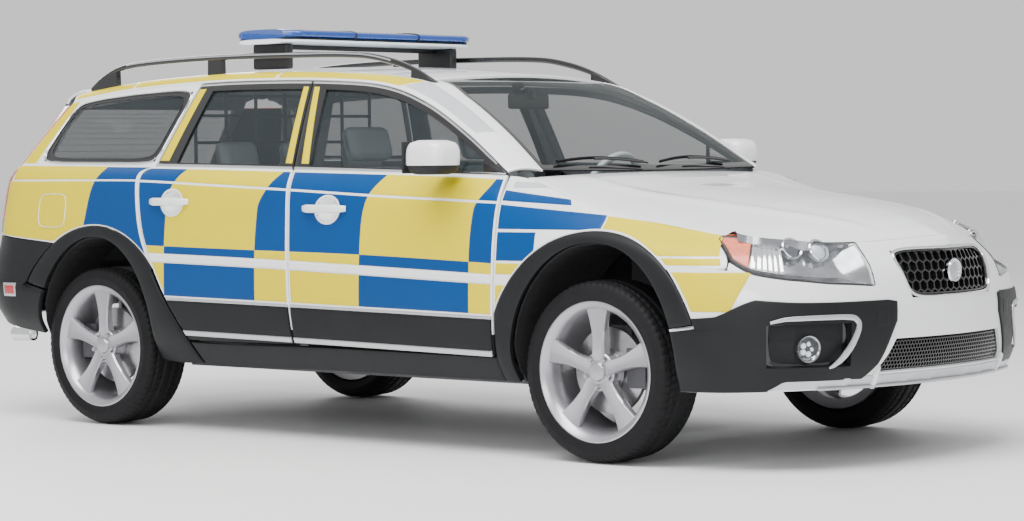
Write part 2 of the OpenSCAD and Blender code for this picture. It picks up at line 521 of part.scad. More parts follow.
module lightbar_case() { color("blue") {
  r = 60;
  translate([bar_x, 0, bar_z + join]) hull() {
    for (sx = [-1, 1], sy = [-1, 1]) {
      translate([sx * (bar_depth / 2 - r), sy * (bar_length / 2 - r), 6])
        cylinder(r = r, h = bar_height - 26, $fn = 24);
      translate([sx * (bar_depth / 2 - r), sy * (bar_length / 2 - r), 0])
        cylinder(r = r - 16, h = bar_height, $fn = 24);
    }
  }
} }

// ---- chassis ----
module floor_pan() { color("#444") {
  difference() {
    union() {
      box([-1010, -735, 270], [950, 735, 286]);
      box([-1022, -640, 270], [-1010, 640, 600]);
      box([-2190, -640, 588], [-1010, 640, 600]);
      box([-1010, -640, 270], [-990, 640, 420]);
      box([-1000, -110, 280], [920, 110, 400]);
    }
    box([-1040, -98, 260], [905, 98, 388]);
  }
  both() box([950 + join, 400, 480], [2150, 470, 560]);
} }
module bulkhead() { color("#444") {
  box([950 + join, -399.7, 286], [962, 399.7, 1040]);
  both() box([936, 399.8, 600], [949.9, 735, 1040]);
} }
module engine_block() { color("#555") box([1120, -330, 420], [1760, 330, 880]); }
module subframe() { color("#333") {
  difference() {
    union() {
      box([1180, -390, 255], [1260, 390, 330]);
      box([1480, -390, 255], [1560, 390, 330]);
      both() box([1180, 330, 255], [1560, 399.7, 330]);
      both() box([1330, 390, 262], [1420, 688, 300]);
      both() for (x = [1190, 1490]) box([x, 150, 320], [x + 60, 250, 420 - join]);
      both() box([1340, 340, 320], [1400, 399.7, 479.7]);
    }
  }
  box([2100, -399.7, 300], [2140, 399.7, 760]);
} }
module rear_axle() { color("#333") {
  box([xr - 60, -690, 366], [xr + 60, 690, 440]);
  both() {
    box([xr - 40, 640, 270], [xr + 40, 700, 470]);
    translate([xr, 0, 0]) calliper(wheel_y[1], -1);
    bar_y(xr, tyre_r, 699, wheel_y[1] - 17, 45);
    box([xr - 30, 560, 430], [xr + 30, 600, 588 - join]);
  }
} }
module exhaust() { color("#777") {
  translate([-2230, -320, 330]) rotate([0, 90, 0]) cylinder(r = 30, h = 90);
  box([-2150, -560, 290], [-1700, -120, 420]);
  box([-1910, -360, 410], [-1890, -300, 588 - join]);
  translate([-1700, -60, 330]) rotate([0, 90, 0]) cylinder(r = 28, h = 2600);
  box([-1760, -150, 300], [-1640, -30, 360]);
} }

// ---- wheels: built at the origin with the outer face towards +Y ----
module calliper(y, s) {
  difference() {
    union() {
      translate([s > 0 ? 100 : -190, y - 46, tyre_r - 60]) cube([90, 82, 150]);
      translate([s > 0 ? 20 : -190, y - 76, tyre_r - 60]) cube([170, 32, 110]);
    }
    translate([0, y - 16, tyre_r]) rotate([-90, 0, 0]) cylinder(r = 172, h = 42);
    translate([0, y - 46, tyre_r]) rotate([-90, 0, 0]) cylinder(r = 78, h = 100);
  }
}
module knuckle() { color("#555") {
  translate([xf, 0, 0]) {
    calliper(wheel_y[0], 1);
    translate([-38, wheel_y[0] - 76, tyre_r - 120]) cube([76, 32, 290]);
    bar_y(0, tyre_r, wheel_y[0] - 76, wheel_y[0] - 17, 45);
  }
} }
module wheel() { color("silver") rotate([90, 0, 0]) mirror([0, 0, 1]) {
  rotate_extrude($fn = 96) polygon([[226, -98], [rim_r - 2, -104], [rim_r, -92], [246, -88],
    [238, -60], [238, 50], [248, 84], [rim_r, 92], [rim_r - 2, 106], [246, 102], [226, 60]]);
  translate([0, 0, -10]) cylinder(r = 165, h = 28);
  translate([0, 0, -10]) cylinder(r = 72, h = 92);
  for (k = [0 : 4]) rotate([0, 0, 90 + 72 * k]) translate([0, 0, 54])
    linear_extrude(26) polygon([[50, -38], [130, -34], [210, -50], [231, -60],
      [231, 60], [210, 50], [130, 34], [50, 38]]);
} }
module tyre() { color("#222") rotate([90, 0, 0]) mirror([0, 0, 1])
  rotate_extrude($fn = 96) polygon([[250.5, -82], [rim_r + 1.6, -89], [rim_r + 20, -half_tyre + 4],
    [rim_r + 45, -half_tyre], [tyre_r - 22, -half_tyre + 8], [tyre_r - 5, -half_tyre + 24],
    [tyre_r, -half_tyre + 50], [tyre_r, half_tyre - 50], [tyre_r - 5, half_tyre - 24],
    [tyre_r - 22, half_tyre - 8], [rim_r + 45, half_tyre], [rim_r + 20, half_tyre - 4],
    [rim_r + 1.6, 89], [250.5, 80], [242, 50], [242, -60]]);
}
module at_wheel(x, y, s) {
  translate([x * stretch[0], s * y, tyre_r]) mirror([0, s > 0 ? 0 : 1, 0]) children();
}

// ---- inside ----
module dashboard() { color("#333") {
  translate([0, 700, 0]) rotate([90, 0, 0]) linear_extrude(1400)
    polygon([[935.7, 700], [935.7, 1060], [800, 1075], [640, 1040], [600, 960], [660, 760]]);
  box([0, -105, 400 + join], [660, 105, 690]);
  translate([450, 380, 1000]) rotate([0, 112, 0]) translate([0, 0, 45]) cylinder(r = 34, h = 190);
} }
module seat(x, y, w) {
  union() {
    block([x - 250, y - w / 2, 500], [x + 270, y + w / 2, 630], 45);
    translate([x - 230, y, 560]) rotate([0, -18, 0]) block([-90, -w / 2 + 10, 0], [30, w / 2 - 10, 620], 40);
    translate([x - 230, y, 560]) rotate([0, -18, 0]) block([-65, -130, 600], [25, 130, 790], 35);
    box([x - 180, y - 160, 286 + join], [x + 180, y + 160, 520]);
  }
}
module front_seats() { color("#bcc") both() seat(190, 370, 500); }
module rear_seat() { color("#bcc") union() {
  block([-900, -640, 480], [-400, 640, 620], 45);
  for (y = [-600, 112]) box([-880, y, 286 + join], [-460, y + 488, 500]);
  translate([-880, 0, 560]) rotate([0, -14, 0]) block([-80, -620, 0], [40, 620, 560], 40);
  for (y = [-400, 0, 400]) translate([-880, y, 560]) rotate([0, -14, 0])
    block([-60, -120, 540], [20, 120, 720], 35);
} }
module cargo_guard() { color("#222") {
  x = -1150;
  for (z = [1120, 1240, 1360, 1450]) bar_y(x, z, -560, 560, 7);
  for (y = [-560, -373, -187, 0, 187, 373, 560]) translate([x, y, 600 + join]) cylinder(r = 8, h = 862);
} }
module steering_wheel() { color("#222") translate([450, 380, 1000]) rotate([0, 112, 0]) {
  rotate_extrude($fn = 64) translate([172, 0]) circle(r = 15, $fn = 24);
  translate([0, 0, -20]) cylinder(r = 62, h = 50);
  for (a = [0, 90, 270]) rotate([0, 0, a]) translate([40, -16, -8]) cube([130, 32, 16]);
} }
module interior_mirror() { color("#222") {
  box([300, -130, 1360], [325, 130, 1430]);
  box([282, -12, 1380], [300, 12, 1483.4]);
} }
module wipers() { color("#222") {
  for (v = [[-4, 0], [1, 5]]) {
    pts = function (g) [for (w = [0.12, 0.2]) [for (k = [v[0] : v[1]]) screen(w, k / 6, g)]];
    shell(pts(-13), pts(-0.5));
  }
} }

module fit() { scale(stretch) children(); }
module right() { mirror([0, 1, 0]) children(); }
fit() floor_pan();
fit() sills();
fit() pillars();
fit() bulkhead();
fit() cant_rails();
fit() roof();
fit() windscreen();
fit() front_fenders();
fit() rear_quarters();
fit() quarter_windows();
fit() arch_trims();
fit() wheel_liners();
fit() front_bumper();
fit() skid_plate();
fit() upper_grille();
fit() lower_grille();
fit() headlamps();
fit() fog_lamps();
fit() rear_bumper();
fit() tail_lamps();
fit() roof_rails();
fit() lightbar_feet();
fit() lightbar_case();
fit() subframe();
fit() rear_axle();
fit() exhaust();
fit() engine_block();
fit() dashboard();
fit() front_seats();
fit() rear_seat();
fit() cargo_guard();
fit() interior_mirror();
fit() wipers();
fit() bonnet();
fit() tailgate();
fit() tailgate_glass();
fit() front_door();  // front_door_left
fit() right() front_door();  // front_door_right
fit() rear_door();  // rear_door_left
fit() right() rear_door();  // rear_door_right
fit() front_door_glass();  // front_glass_left
fit() right() front_door_glass();  // front_glass_right
fit() rear_door_glass();  // rear_glass_left
fit() right() rear_door_glass();  // rear_glass_right
fit() mirror_housing();  // mirror_left
fit() right() mirror_housing();  // mirror_right
fit() knuckle();  // knuckle_left
fit() right() knuckle();  // knuckle_right
fit() steering_wheel();
at_wheel(xf, wheel_y[0], 1) wheel();  // wheel_front_left
at_wheel(xf, wheel_y[0], -1) wheel();  // wheel_front_right
at_wheel(xr, wheel_y[1], 1) wheel();  // wheel_rear_left
at_wheel(xr, wheel_y[1], -1) wheel();  // wheel_rear_right
at_wheel(xf, wheel_y[0], 1) tyre();  // tyre_front_left
at_wheel(xf, wheel_y[0], -1) tyre();  // tyre_front_right
at_wheel(xr, wheel_y[1], 1) tyre();  // tyre_rear_left
at_wheel(xr, wheel_y[1], -1) tyre();  // tyre_rear_right
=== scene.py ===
"""Looks of the police patrol car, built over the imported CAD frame.

Body shapes are worked out in millimetres from the same lines as the CAD part, then made in metres.
X runs forward, Y to the car's left, Z up.
"""
import json
import math

import bmesh
import bpy
import numpy as np
from mathutils import Matrix, Vector

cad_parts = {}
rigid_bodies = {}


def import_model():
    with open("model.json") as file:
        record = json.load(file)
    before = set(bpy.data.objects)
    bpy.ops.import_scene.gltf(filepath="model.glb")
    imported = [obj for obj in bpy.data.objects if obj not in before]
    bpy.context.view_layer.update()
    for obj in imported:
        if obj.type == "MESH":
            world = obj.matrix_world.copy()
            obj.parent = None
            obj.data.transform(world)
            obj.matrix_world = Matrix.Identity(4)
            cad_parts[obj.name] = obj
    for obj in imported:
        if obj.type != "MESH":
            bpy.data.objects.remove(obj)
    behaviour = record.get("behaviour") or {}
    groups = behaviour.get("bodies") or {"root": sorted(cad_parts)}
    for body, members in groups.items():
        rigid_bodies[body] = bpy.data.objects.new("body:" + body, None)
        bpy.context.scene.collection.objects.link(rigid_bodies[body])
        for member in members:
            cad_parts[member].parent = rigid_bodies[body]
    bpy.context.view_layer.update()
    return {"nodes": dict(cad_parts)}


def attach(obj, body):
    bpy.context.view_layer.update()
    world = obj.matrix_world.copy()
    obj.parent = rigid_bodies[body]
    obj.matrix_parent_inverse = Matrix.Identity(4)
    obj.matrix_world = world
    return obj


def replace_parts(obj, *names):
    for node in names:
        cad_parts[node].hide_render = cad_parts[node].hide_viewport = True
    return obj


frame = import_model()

MM = 0.001
SIDES = (("left", False), ("right", True))


# ---- camera, at the photograph's viewing angle ----
def make_camera():
    yaw, pitch, roll = 2.27977, -0.03737, -0.0119
    ahead = Vector((math.cos(pitch) * math.cos(yaw), math.cos(pitch) * math.sin(yaw), math.sin(pitch)))
    side = ahead.cross(Vector((0, 0, 1))).normalized()
    up = side.cross(ahead)
    right = math.cos(roll) * side + math.sin(roll) * up
    top = -math.sin(roll) * side + math.cos(roll) * up
    data = bpy.data.cameras.new("camera")
    data.lens, data.sensor_width = 98.33, 36
    data.clip_end = 400
    cam = bpy.data.objects.new("camera", data)
    cam.matrix_world = Matrix((right, top, -ahead)).transposed().to_4x4()
    cam.location = (7.996, -9.078, 1.165)
    bpy.context.scene.collection.objects.link(cam)
    bpy.context.scene.camera = cam


make_camera()

# ---- body lines, as in the CAD part ----
HW, NOSE, TAIL = 935, 2419, -2419
XF, XR, TYRE_R = 1389, -1426, 348
SEAM, BELT = 6, 6
CORNER_F, TURN_F, CORNER_R, TURN_R = 520, math.radians(68), 360, math.radians(74)
FACE_F = CORNER_F + (HW - CORNER_F) / math.cos(TURN_F)
FACE_R = CORNER_R + (HW - CORNER_R) / math.cos(TURN_R)
X_CF = NOSE - FACE_F - (CORNER_F - FACE_F) * math.sin(TURN_F)
X_CR = TAIL + FACE_R + (CORNER_R - FACE_R) * math.sin(TURN_R)
U_F = X_CF + CORNER_F * TURN_F
U_NOSE = U_F + FACE_F * (math.pi / 2 - TURN_F)
U_R = X_CR - CORNER_R * TURN_R
U_TAIL = U_R - FACE_R * (math.pi / 2 - TURN_R)


class Curve:
    """Smooth curve through a table's rows; the first column is the station."""

    def __init__(self, rows):
        self.t = np.array(rows, float)
        n = len(self.t)
        a, b = np.maximum(np.arange(n) - 1, 0), np.minimum(np.arange(n) + 1, n - 1)
        self.m = (self.t[b] - self.t[a]) / (self.t[b, :1] - self.t[a, :1])

    def __call__(self, x):
        t = self.t
        x = np.clip(np.asarray(x, float), t[0, 0], t[-1, 0])
        i = np.clip(np.searchsorted(t[:, 0], x, side="right") - 1, 0, len(t) - 2)
        h = (t[i + 1, 0] - t[i, 0])[..., None]
        s = (x - t[i, 0])[..., None] / h
        return ((2 * s**3 - 3 * s**2 + 1) * t[i] + (s**3 - 2 * s**2 + s) * h * self.m[i]
                + (3 * s**2 - 2 * s**3) * t[i + 1] + (s**3 - s**2) * h * self.m[i + 1])


LINES = [Curve(rows) for rows in (
    [[U_TAIL, 470, -110], [-2300, 440, -70], [-1900, 400, -60], [-900, 292, -70],
     [0, 292, -70], [1000, 290, -70], [1900, 292, -40], [2300, 300, -45], [U_NOSE, 300, -70]],
    [[U_TAIL, 560, -30], [-2300, 540, -20], [-1900, 480, -16], [-900, 400, -14],
     [0, 400, -14], [1000, 395, -14], [1900, 400, -6], [2300, 400, -8], [U_NOSE, 400, -10]],
    [[U_TAIL, 700, 0], [-2300, 680, -4], [-1900, 620, 0], [-900, 560, 0],
     [0, 555, 0], [1000, 545, 0], [1900, 560, 0], [2300, 560, 0], [U_NOSE, 560, 0]],
    [[U_TAIL, 800, -60], [-2300, 800, -40], [-1900, 770, -14], [-900, 730, -2],
     [0, 715, -2], [1000, 690, -4], [1500, 700, -6], [1900, 690, -10], [2300, 650, -16],
     [U_NOSE, 660, -6]],
    [[U_TAIL, 900, -75], [-2300, 900, -52], [-1900, 900, -26], [-900, 880, -12],
     [0, 870, -12], [1000, 850, -18], [1500, 830, -26], [1900, 780, -44],
     [2300, 740, -60], [U_NOSE, 760, -20]],
    [[U_TAIL, 1075, -100], [-2300, 1080, -84], [-1900, 1080, -58], [-1080, 1072, -36],
     [-150, 1035, -32], [900, 985, -46], [1250, 945, -75], [1600, 898, -105],
     [1900, 856, -130], [2100, 842, -145], [2300, 828, -150], [2600, 820, -122],
     [U_NOSE, 840, -46]],
    [[U_TAIL, 1150, -130], [-2300, 1150, -112], [-1900, 1148, -98], [-1080, 1136, -94],
     [-150, 1115, -92], [600, 1096, -100], [850, 1092, -112], [1000, 1080, -112],
     [1150, 1030, -104], [1300, 980, -104], [1450, 944, -108], [1700, 898, -122],
     [1900, 868, -142], [2100, 852, -157], [2300, 838, -162], [2600, 830, -134],
     [U_NOSE, 850, -60]])]
EAVE = Curve([[0, 895, 818, 1104], [1, 640, 768, 1262], [2, 370, 716, 1392], [3, 100, 680, 1466],
              [4, -265, 662, 1494], [5, -700, 655, 1503], [6, -1050, 653, 1498],
              [7, -1450, 655, 1480], [8, -1740, 662, 1450], [9, -1840, 668, 1436]])
BROW = Curve([[0, 985, 712, 1108], [1, 745, 652, 1268], [2, 500, 596, 1402], [3, 285, 552, 1482],
              [4, -200, 560, 1527], [5, -700, 568, 1541], [6, -1050, 570, 1537],
              [7, -1450, 572, 1519], [8, -1760, 574, 1488], [9, -1865, 575, 1474]])
B_CUT = Curve([[0, -165], [1, -180], [2, -200], [3, -210], [4, -218], [5, -228], [6, -258]])
C_CUT = Curve([[0, -780], [1, -830], [2, -955], [3, -1060], [4, -1128], [5, -1162],
               [5.6, -1156], [6, -1106]])
D_CUT = Curve([[3, -2135], [4, -2135], [5, -2120], [6, -2036]])
B_TOP, C_TOP, D_TOP, DOOR_FRONT = -312, -1004, -1838, 910
ARCH_Z, TRIM_Z, TRIM_R = 365, 368, 512


def mix(a, b, t):
    return a + (b - a) * t


def stack(x, y, z):
    return np.stack(np.broadcast_arrays(x, y, z), -1)


def plan(u):
    """Point and outward direction along the plan curve: x, y, nx, ny."""
    u = np.asarray(u, float)
    a1, a2 = (u - X_CF) / CORNER_F, TURN_F + (u - U_F) / FACE_F
    a3, a4 = (X_CR - u) / CORNER_R, TURN_R + (U_R - u) / FACE_R
    cf, cr = CORNER_F - FACE_F, CORNER_R - FACE_R
    cases = [(u > U_F, X_CF + cf * math.sin(TURN_F), HW - CORNER_F + cf * math.cos(TURN_F), FACE_F, a2, 1),
             (u > X_CF, X_CF, HW - CORNER_F, CORNER_F, a1, 1),
             (u > X_CR, u, HW, 0, 0 * u, 1),
             (u > U_R, X_CR, HW - CORNER_R, CORNER_R, a3, -1),
             (u > -1e9, X_CR - cr * math.sin(TURN_R), HW - CORNER_R + cr * math.cos(TURN_R), FACE_R, a4, -1)]
    when = [c[0] for c in cases]
    pick = lambda f: np.select(when, [f(*c[1:]) + 0 * u for c in cases])
    return (pick(lambda cx, cy, r, a, s: cx + s * r * np.sin(a)),
            pick(lambda cx, cy, r, a, s: cy + r * np.cos(a)),
            pick(lambda cx, cy, r, a, s: s * np.sin(a)), pick(lambda cx, cy, r, a, s: np.cos(a)))


def section(u, t):
    """Height and offset from the plan curve at station u, level t."""
    u, t = np.broadcast_arrays(np.asarray(u, float), np.asarray(t, float))
    rows = np.stack([line(u)[..., 1:] for line in LINES], -2)
    k = np.clip(np.floor(t).astype(int), 0, BELT - 1)
    s = (t - k)[..., None]
    at = lambda i: np.take_along_axis(rows, np.clip(i, 0, BELT)[..., None, None], -2)[..., 0, :]
    a, b, c, e = at(k - 1), at(k), at(k + 1), at(k + 2)
    return ((2 * s**3 - 3 * s**2 + 1) * b + (s**3 - 2 * s**2 + s) * (c - a) / 2
            + (3 * s**2 - 2 * s**3) * c + (s**3 - s**2) * (e - b) / 2)


def low(u, t, g=0):
    """Point of the lower body, sunk by g."""
    q, p = section(u, t), plan(u)
    d = q[..., 1] - g
    return stack(p[0] + p[2] * d, p[1] + p[3] * d, q[..., 0])


def solve(f, goal, a, b):
    """Where the rising function f reaches goal, between a and b."""
    goal = np.asarray(goal, float)
    a, b = a + 0 * goal, b + 0 * goal
    for _ in range(22):
        m = (a + b) / 2
        below = f(m) < goal
        a, b = np.where(below, m, a), np.where(below, b, m)
    return (a + b) / 2


def at_height(u, z):
    u, z = np.broadcast_arrays(np.asarray(u, float), np.asarray(z, float))
    return solve(lambda t: section(u, t)[..., 0], z, 0, BELT)


def on_side(x, z, g=0):
    return low(x, at_height(x, z), g)


def eave_at(x):
    return solve(lambda w: -EAVE(w)[..., 1], -np.asarray(x, float), 0, 9)


def b_cut(t): return B_CUT(t)[..., 1]
def c_cut(t): return C_CUT(t)[..., 1]
def d_cut(t): return D_CUT(t)[..., 1]


def cabin(x, s, lean):
    """Point of the cabin side above the belt: s is 0 at the belt and 1 at the eave."""
    b, e = low(x, BELT), EAVE(eave_at(x + lean))[..., 1:]
    return stack(mix(x, x + lean, s), mix(b[..., 1], e[..., 1], s) + 22.4 * s * (1 - s),
                 mix(b[..., 2], e[..., 2], s))


def rail_point(w, s):
    """Rounded section between eave and brow."""
    a, b = EAVE(w)[..., 1:], BROW(w)[..., 1:]
    return stack(mix(a[..., 0], b[..., 0], s), mix(a[..., 1], b[..., 1], s) + 33.6 * s * (1 - s),
                 mix(a[..., 2], b[..., 2], s) + 44.8 * s * (1 - s))


# ---- mesh helpers, points in millimetres ----
def ticks(*spans):
    """Values over spans (from, to, step); every span's ends are kept."""
    out = [spans[0][0]]
    for a, b, step in spans:
        out += list(np.linspace(a, b, max(1, math.ceil(abs(b - a) / step - 1e-9)) + 1)[1:])
    return np.array(out, float)


def grid(a, b):
    return np.meshgrid(a, b, indexing="ij")


def normals(P):
    n = np.cross(np.gradient(P, axis=0), np.gradient(P, axis=1))
    return n / np.maximum(np.linalg.norm(n, axis=2, keepdims=True), 1e-9)


def quads(n, m, start=0, keep=None):
    i, j = grid(np.arange(n - 1), np.arange(m - 1))
    a = start + i * m + j
    f = np.stack([a, a + m, a + m + 1, a + 1], -1)
    return f[keep] if keep is not None else f.reshape(-1, 4)


def piece(name, verts, faces, body, mats, index=None, mirror=False, sharp=35):
    """A mesh piece that rides on a CAD body."""
    v = np.asarray(verts, float).reshape(-1, 3) * MM
    faces = [tuple(int(k) for k in f) for f in faces]
    if mirror:
        v = v * [1, -1, 1]
        faces = [f[::-1] for f in faces]
    me = bpy.data.meshes.new(name)
    me.from_pydata(v.tolist(), [], faces)
    for m in mats if isinstance(mats, (list, tuple)) else [mats]:
        me.materials.append(m)
    if index is not None:
        me.polygons.foreach_set("material_index", np.asarray(index, np.int32))
    me.polygons.foreach_set("use_smooth", np.ones(len(me.polygons), bool))
    me.set_sharp_from_angle(angle=math.radians(sharp))
    me.validate()
    o = bpy.data.objects.new(name, me)
    bpy.context.scene.collection.objects.link(o)
    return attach(o, body)


def hem(Q, S, C, r, depth):
    """Rolls the grid's first and last rows over: an inset row, a corner row, the edge and a lip."""
    for _ in range(2):
        gap = np.linalg.norm(Q[1, :, :3] - Q[0, :, :3], axis=1, keepdims=True)
        f = np.minimum(r / np.maximum(gap, 1e-6), 0.8)
        rows = np.stack([Q[0] + (Q[1] - Q[0]) * f * k for k in (0, 0, 0.3, 1)])
        sink = np.stack([np.maximum(S[0], s) for s in (depth, r, 0.3 * r, 0)])
        Q, S = np.concatenate([rows, Q[1:]])[::-1], np.concatenate([sink, S[1:]])[::-1]
        C = np.concatenate([C[:1], C[:1], C[:1], C])[::-1]
    return Q, S, C


def panel(name, P, body, mats, depth=12, r=3, holes=(), inner=None, zone=None, mirror=False, wall=16):
    """A pressed panel with rolled edges. holes are (i0, i1, j0, j1) in grid rows and columns.
    inner gives the depth of a second sheet behind it, and zone the material of each cell."""
    P = np.asarray(P, float)
    N = normals(P)
    n, m = P.shape[:2]
    C = np.zeros((n - 1, m - 1), int) if zone is None else zone.astype(int).copy()
    base = C.copy()
    for i0, i1, j0, j1 in holes:
        C[i0:i1, j0:j1] = -1
    Q, S, K = hem(np.concatenate([P, N], 2), np.zeros((n, m)), C, r, depth)
    Q, S, K = hem(Q.swapaxes(0, 1), S.T, K.T, r, depth)
    Q, S, K = Q.swapaxes(0, 1), S.T, K.T
    verts = [(Q[..., :3] - Q[..., 3:] * S[..., None]).reshape(-1, 3)]
    faces = [quads(*S.shape, keep=K >= 0)]
    index = [K[K >= 0]]
    count = len(verts[0])
    for i0, i1, j0, j1 in holes:
        loop = ([(i, j0) for i in range(i0, i1)] + [(i1, j) for j in range(j0, j1)]
                + [(i, j1) for i in range(i1, i0, -1)] + [(i0, j) for j in range(j1, j0, -1)])
        ij = np.array(loop)
        deep = P[ij[:, 0], ij[:, 1]] - N[ij[:, 0], ij[:, 1]] * wall
        top = (ij[:, 0] + 3) * S.shape[1] + ij[:, 1] + 3
        k = np.arange(len(loop))
        nxt = (k + 1) % len(loop)
        faces.append(np.stack([top, top[nxt], count + nxt, count + k], -1))
        index.append(np.full(len(loop), base[i0 - 1, j0]))
        verts.append(deep)
        count += len(loop)
    if inner is not None:
        D = np.broadcast_to(np.asarray(inner, float), (n, m)).copy()
        D[0], D[-1], D[:, 0], D[:, -1] = depth, depth, depth, depth
        for i0, i1, j0, j1 in holes:
            D[i0:i1 + 1, [j0, j1]] = wall
            D[[i0, i1], j0:j1 + 1] = wall
        verts.append((P - N * D[..., None]).reshape(-1, 3))
        inside = quads(n, m, count, keep=C >= 0)[:, ::-1]
        faces.append(inside)
        index.append(np.full(len(inside), (len(mats) if isinstance(mats, (list, tuple)) else 1) - 1))
    return piece(name, np.concatenate(verts), np.concatenate(faces), body, mats,
                 np.concatenate(index), mirror)


def film(name, P, body, mat, mirror=False, lift=1.0):
    """A cut sheet of film lying on a panel."""
    return panel(name, P + normals(P) * lift, body, mat, depth=0.9, r=0.5, mirror=mirror)


def ring(w, h, n=16, power=0.6):
    a = np.arange(n) * 2 * math.pi / n
    f = lambda v: np.sign(v) * np.abs(v) ** power
    return np.stack([f(np.cos(a)) * w / 2, f(np.sin(a)) * h / 2], -1)


def sweep(name, path, shape, body, mat, up=(0, 0, 1), scale=None, closed=False, mirror=False, sharp=35):
    """A section (side, up) carried along a path."""
    path = np.asarray(path, float)
    T = np.gradient(path, axis=0)
    if closed:
        T = np.roll(path, -1, 0) - np.roll(path, 1, 0)
    T /= np.linalg.norm(T, axis=1, keepdims=True)
    A = np.cross(T, np.broadcast_to(np.asarray(up, float), path.shape))
    A /= np.maximum(np.linalg.norm(A, axis=1, keepdims=True), 1e-9)
    U = np.cross(A, T)
    k = np.ones(len(path)) if scale is None else np.asarray(scale, float)
    V = path[:, None] + (shape[None, :, :1] * A[:, None] + shape[None, :, 1:] * U[:, None]) * k[:, None,
                                                                                                None]
    n, m = len(path), len(shape)
    i, j = grid(np.arange(n if closed else n - 1), np.arange(m))
    a, b = i * m + j, i * m + (j + 1) % m
    c, d = (i + 1) % n * m + (j + 1) % m, (i + 1) % n * m + j
    faces = list(np.stack([a, d, c, b], -1).reshape(-1, 4))
    if not closed:
        faces += [tuple(range(m)), tuple(range((n - 1) * m, n * m))[::-1]]
    return piece(name, V, faces, body, mat, mirror=mirror, sharp=sharp)


def lathe_points(profile, n):
    a = np.arange(n) * 2 * math.pi / n
    p = np.asarray(profile, float)
    return stack(p[:, :1] * np.cos(a), p[:, 1:] + 0 * a, p[:, :1] * np.sin(a))


def lathe(name, profile, at, body, mat, n=64, mirror=False, turn=None, sharp=35):
    """A profile (radius, distance) turned about an axis through at, along +Y unless turned."""
    V = lathe_points(profile, n).reshape(-1, 3)
    if turn is not None:
        V = V @ np.array(turn).T
    k = len(profile)
    i, j = grid(np.arange(k - 1), np.arange(n))
    a, b = i * n + j, i * n + (j + 1) % n
    faces = np.stack([a, a + n, b + n, b], -1).reshape(-1, 4)
    return piece(name, V + np.asarray(at, float), faces, body, mat, mirror=mirror, sharp=sharp)


def brick(name, lo, hi, r, body, mat, mirror=False, turn=None):
    """A box with rounded edges; turn is a matrix about the box's middle."""
    bm = bmesh.new()
    bmesh.ops.create_cube(bm, size=1)
    size, mid = np.subtract(hi, lo), np.add(hi, lo) / 2
    for v in bm.verts:
        v.co = Vector(np.array(v.co) * size)
    bmesh.ops.bevel(bm, geom=bm.edges[:], offset=r, segments=3, profile=0.5, affect="EDGES")
    V = np.array([v.co[:] for v in bm.verts])
    F = [tuple(v.index for v in f.verts) for f in bm.faces]
    bm.free()
    if turn is not None:
        V = V @ np.array(turn).T
    return piece(name, V + mid, F, body, mat, mirror=mirror)


def turned(degrees, axis):
    return np.array(Matrix.Rotation(math.radians(degrees), 3, axis))


def finish(name, colour, rough, vary=0.05, scale=6, bump=0.05, bump_scale=900, wave=None, **sockets):
    """A procedural finish: clouded colour, uneven gloss and a fine grain, or bands when wave is set."""
    m = bpy.data.materials.new(name)
    m.use_nodes = True
    tree, shader = m.node_tree, m.node_tree.nodes["Principled BSDF"]
    coord = tree.nodes.new("ShaderNodeTexCoord")

    def texture(kind, size, detail=3):
        t = tree.nodes.new(kind)
        t.inputs["Scale"].default_value = size
        if kind == "ShaderNodeTexNoise":
            t.inputs["Detail"].default_value = detail
        tree.links.new(coord.outputs["Object"], t.inputs["Vector"])
        return t

    cloud = texture("ShaderNodeTexNoise", scale)
    ramp = tree.nodes.new("ShaderNodeValToRGB")
    for k, share in ((0, 1 - vary), (1, 1 + vary)):
        ramp.color_ramp.elements[k].position = (0.3, 0.7)[k]
        ramp.color_ramp.elements[k].color = [min(1, c * share) for c in colour] + [1]
    tree.links.new(cloud.outputs["Fac"], ramp.inputs["Fac"])
    tree.links.new(ramp.outputs["Color"], shader.inputs["Base Color"])
    gloss = tree.nodes.new("ShaderNodeMapRange")
    gloss.inputs["To Min"].default_value, gloss.inputs["To Max"].default_value = rough * 0.8, rough * 1.2
    tree.links.new(texture("ShaderNodeTexNoise", scale * 5).outputs["Fac"], gloss.inputs["Value"])
    tree.links.new(gloss.outputs["Result"], shader.inputs["Roughness"])
    relief = tree.nodes.new("ShaderNodeBump")
    relief.inputs["Strength"].default_value = bump
    relief.inputs["Distance"].default_value = 0.0006
    if wave:
        bands = texture("ShaderNodeTexWave", wave[0])
        bands.bands_direction = wave[1]
        tree.links.new(bands.outputs["Fac"], relief.inputs["Height"])
    else:
        tree.links.new(texture("ShaderNodeTexNoise", bump_scale, 1).outputs["Fac"], relief.inputs["Height"])
    tree.links.new(relief.outputs["Normal"], shader.inputs["Normal"])
    for key, value in sockets.items():
        shader.inputs[key.replace("_", " ")].default_value = value
    return m


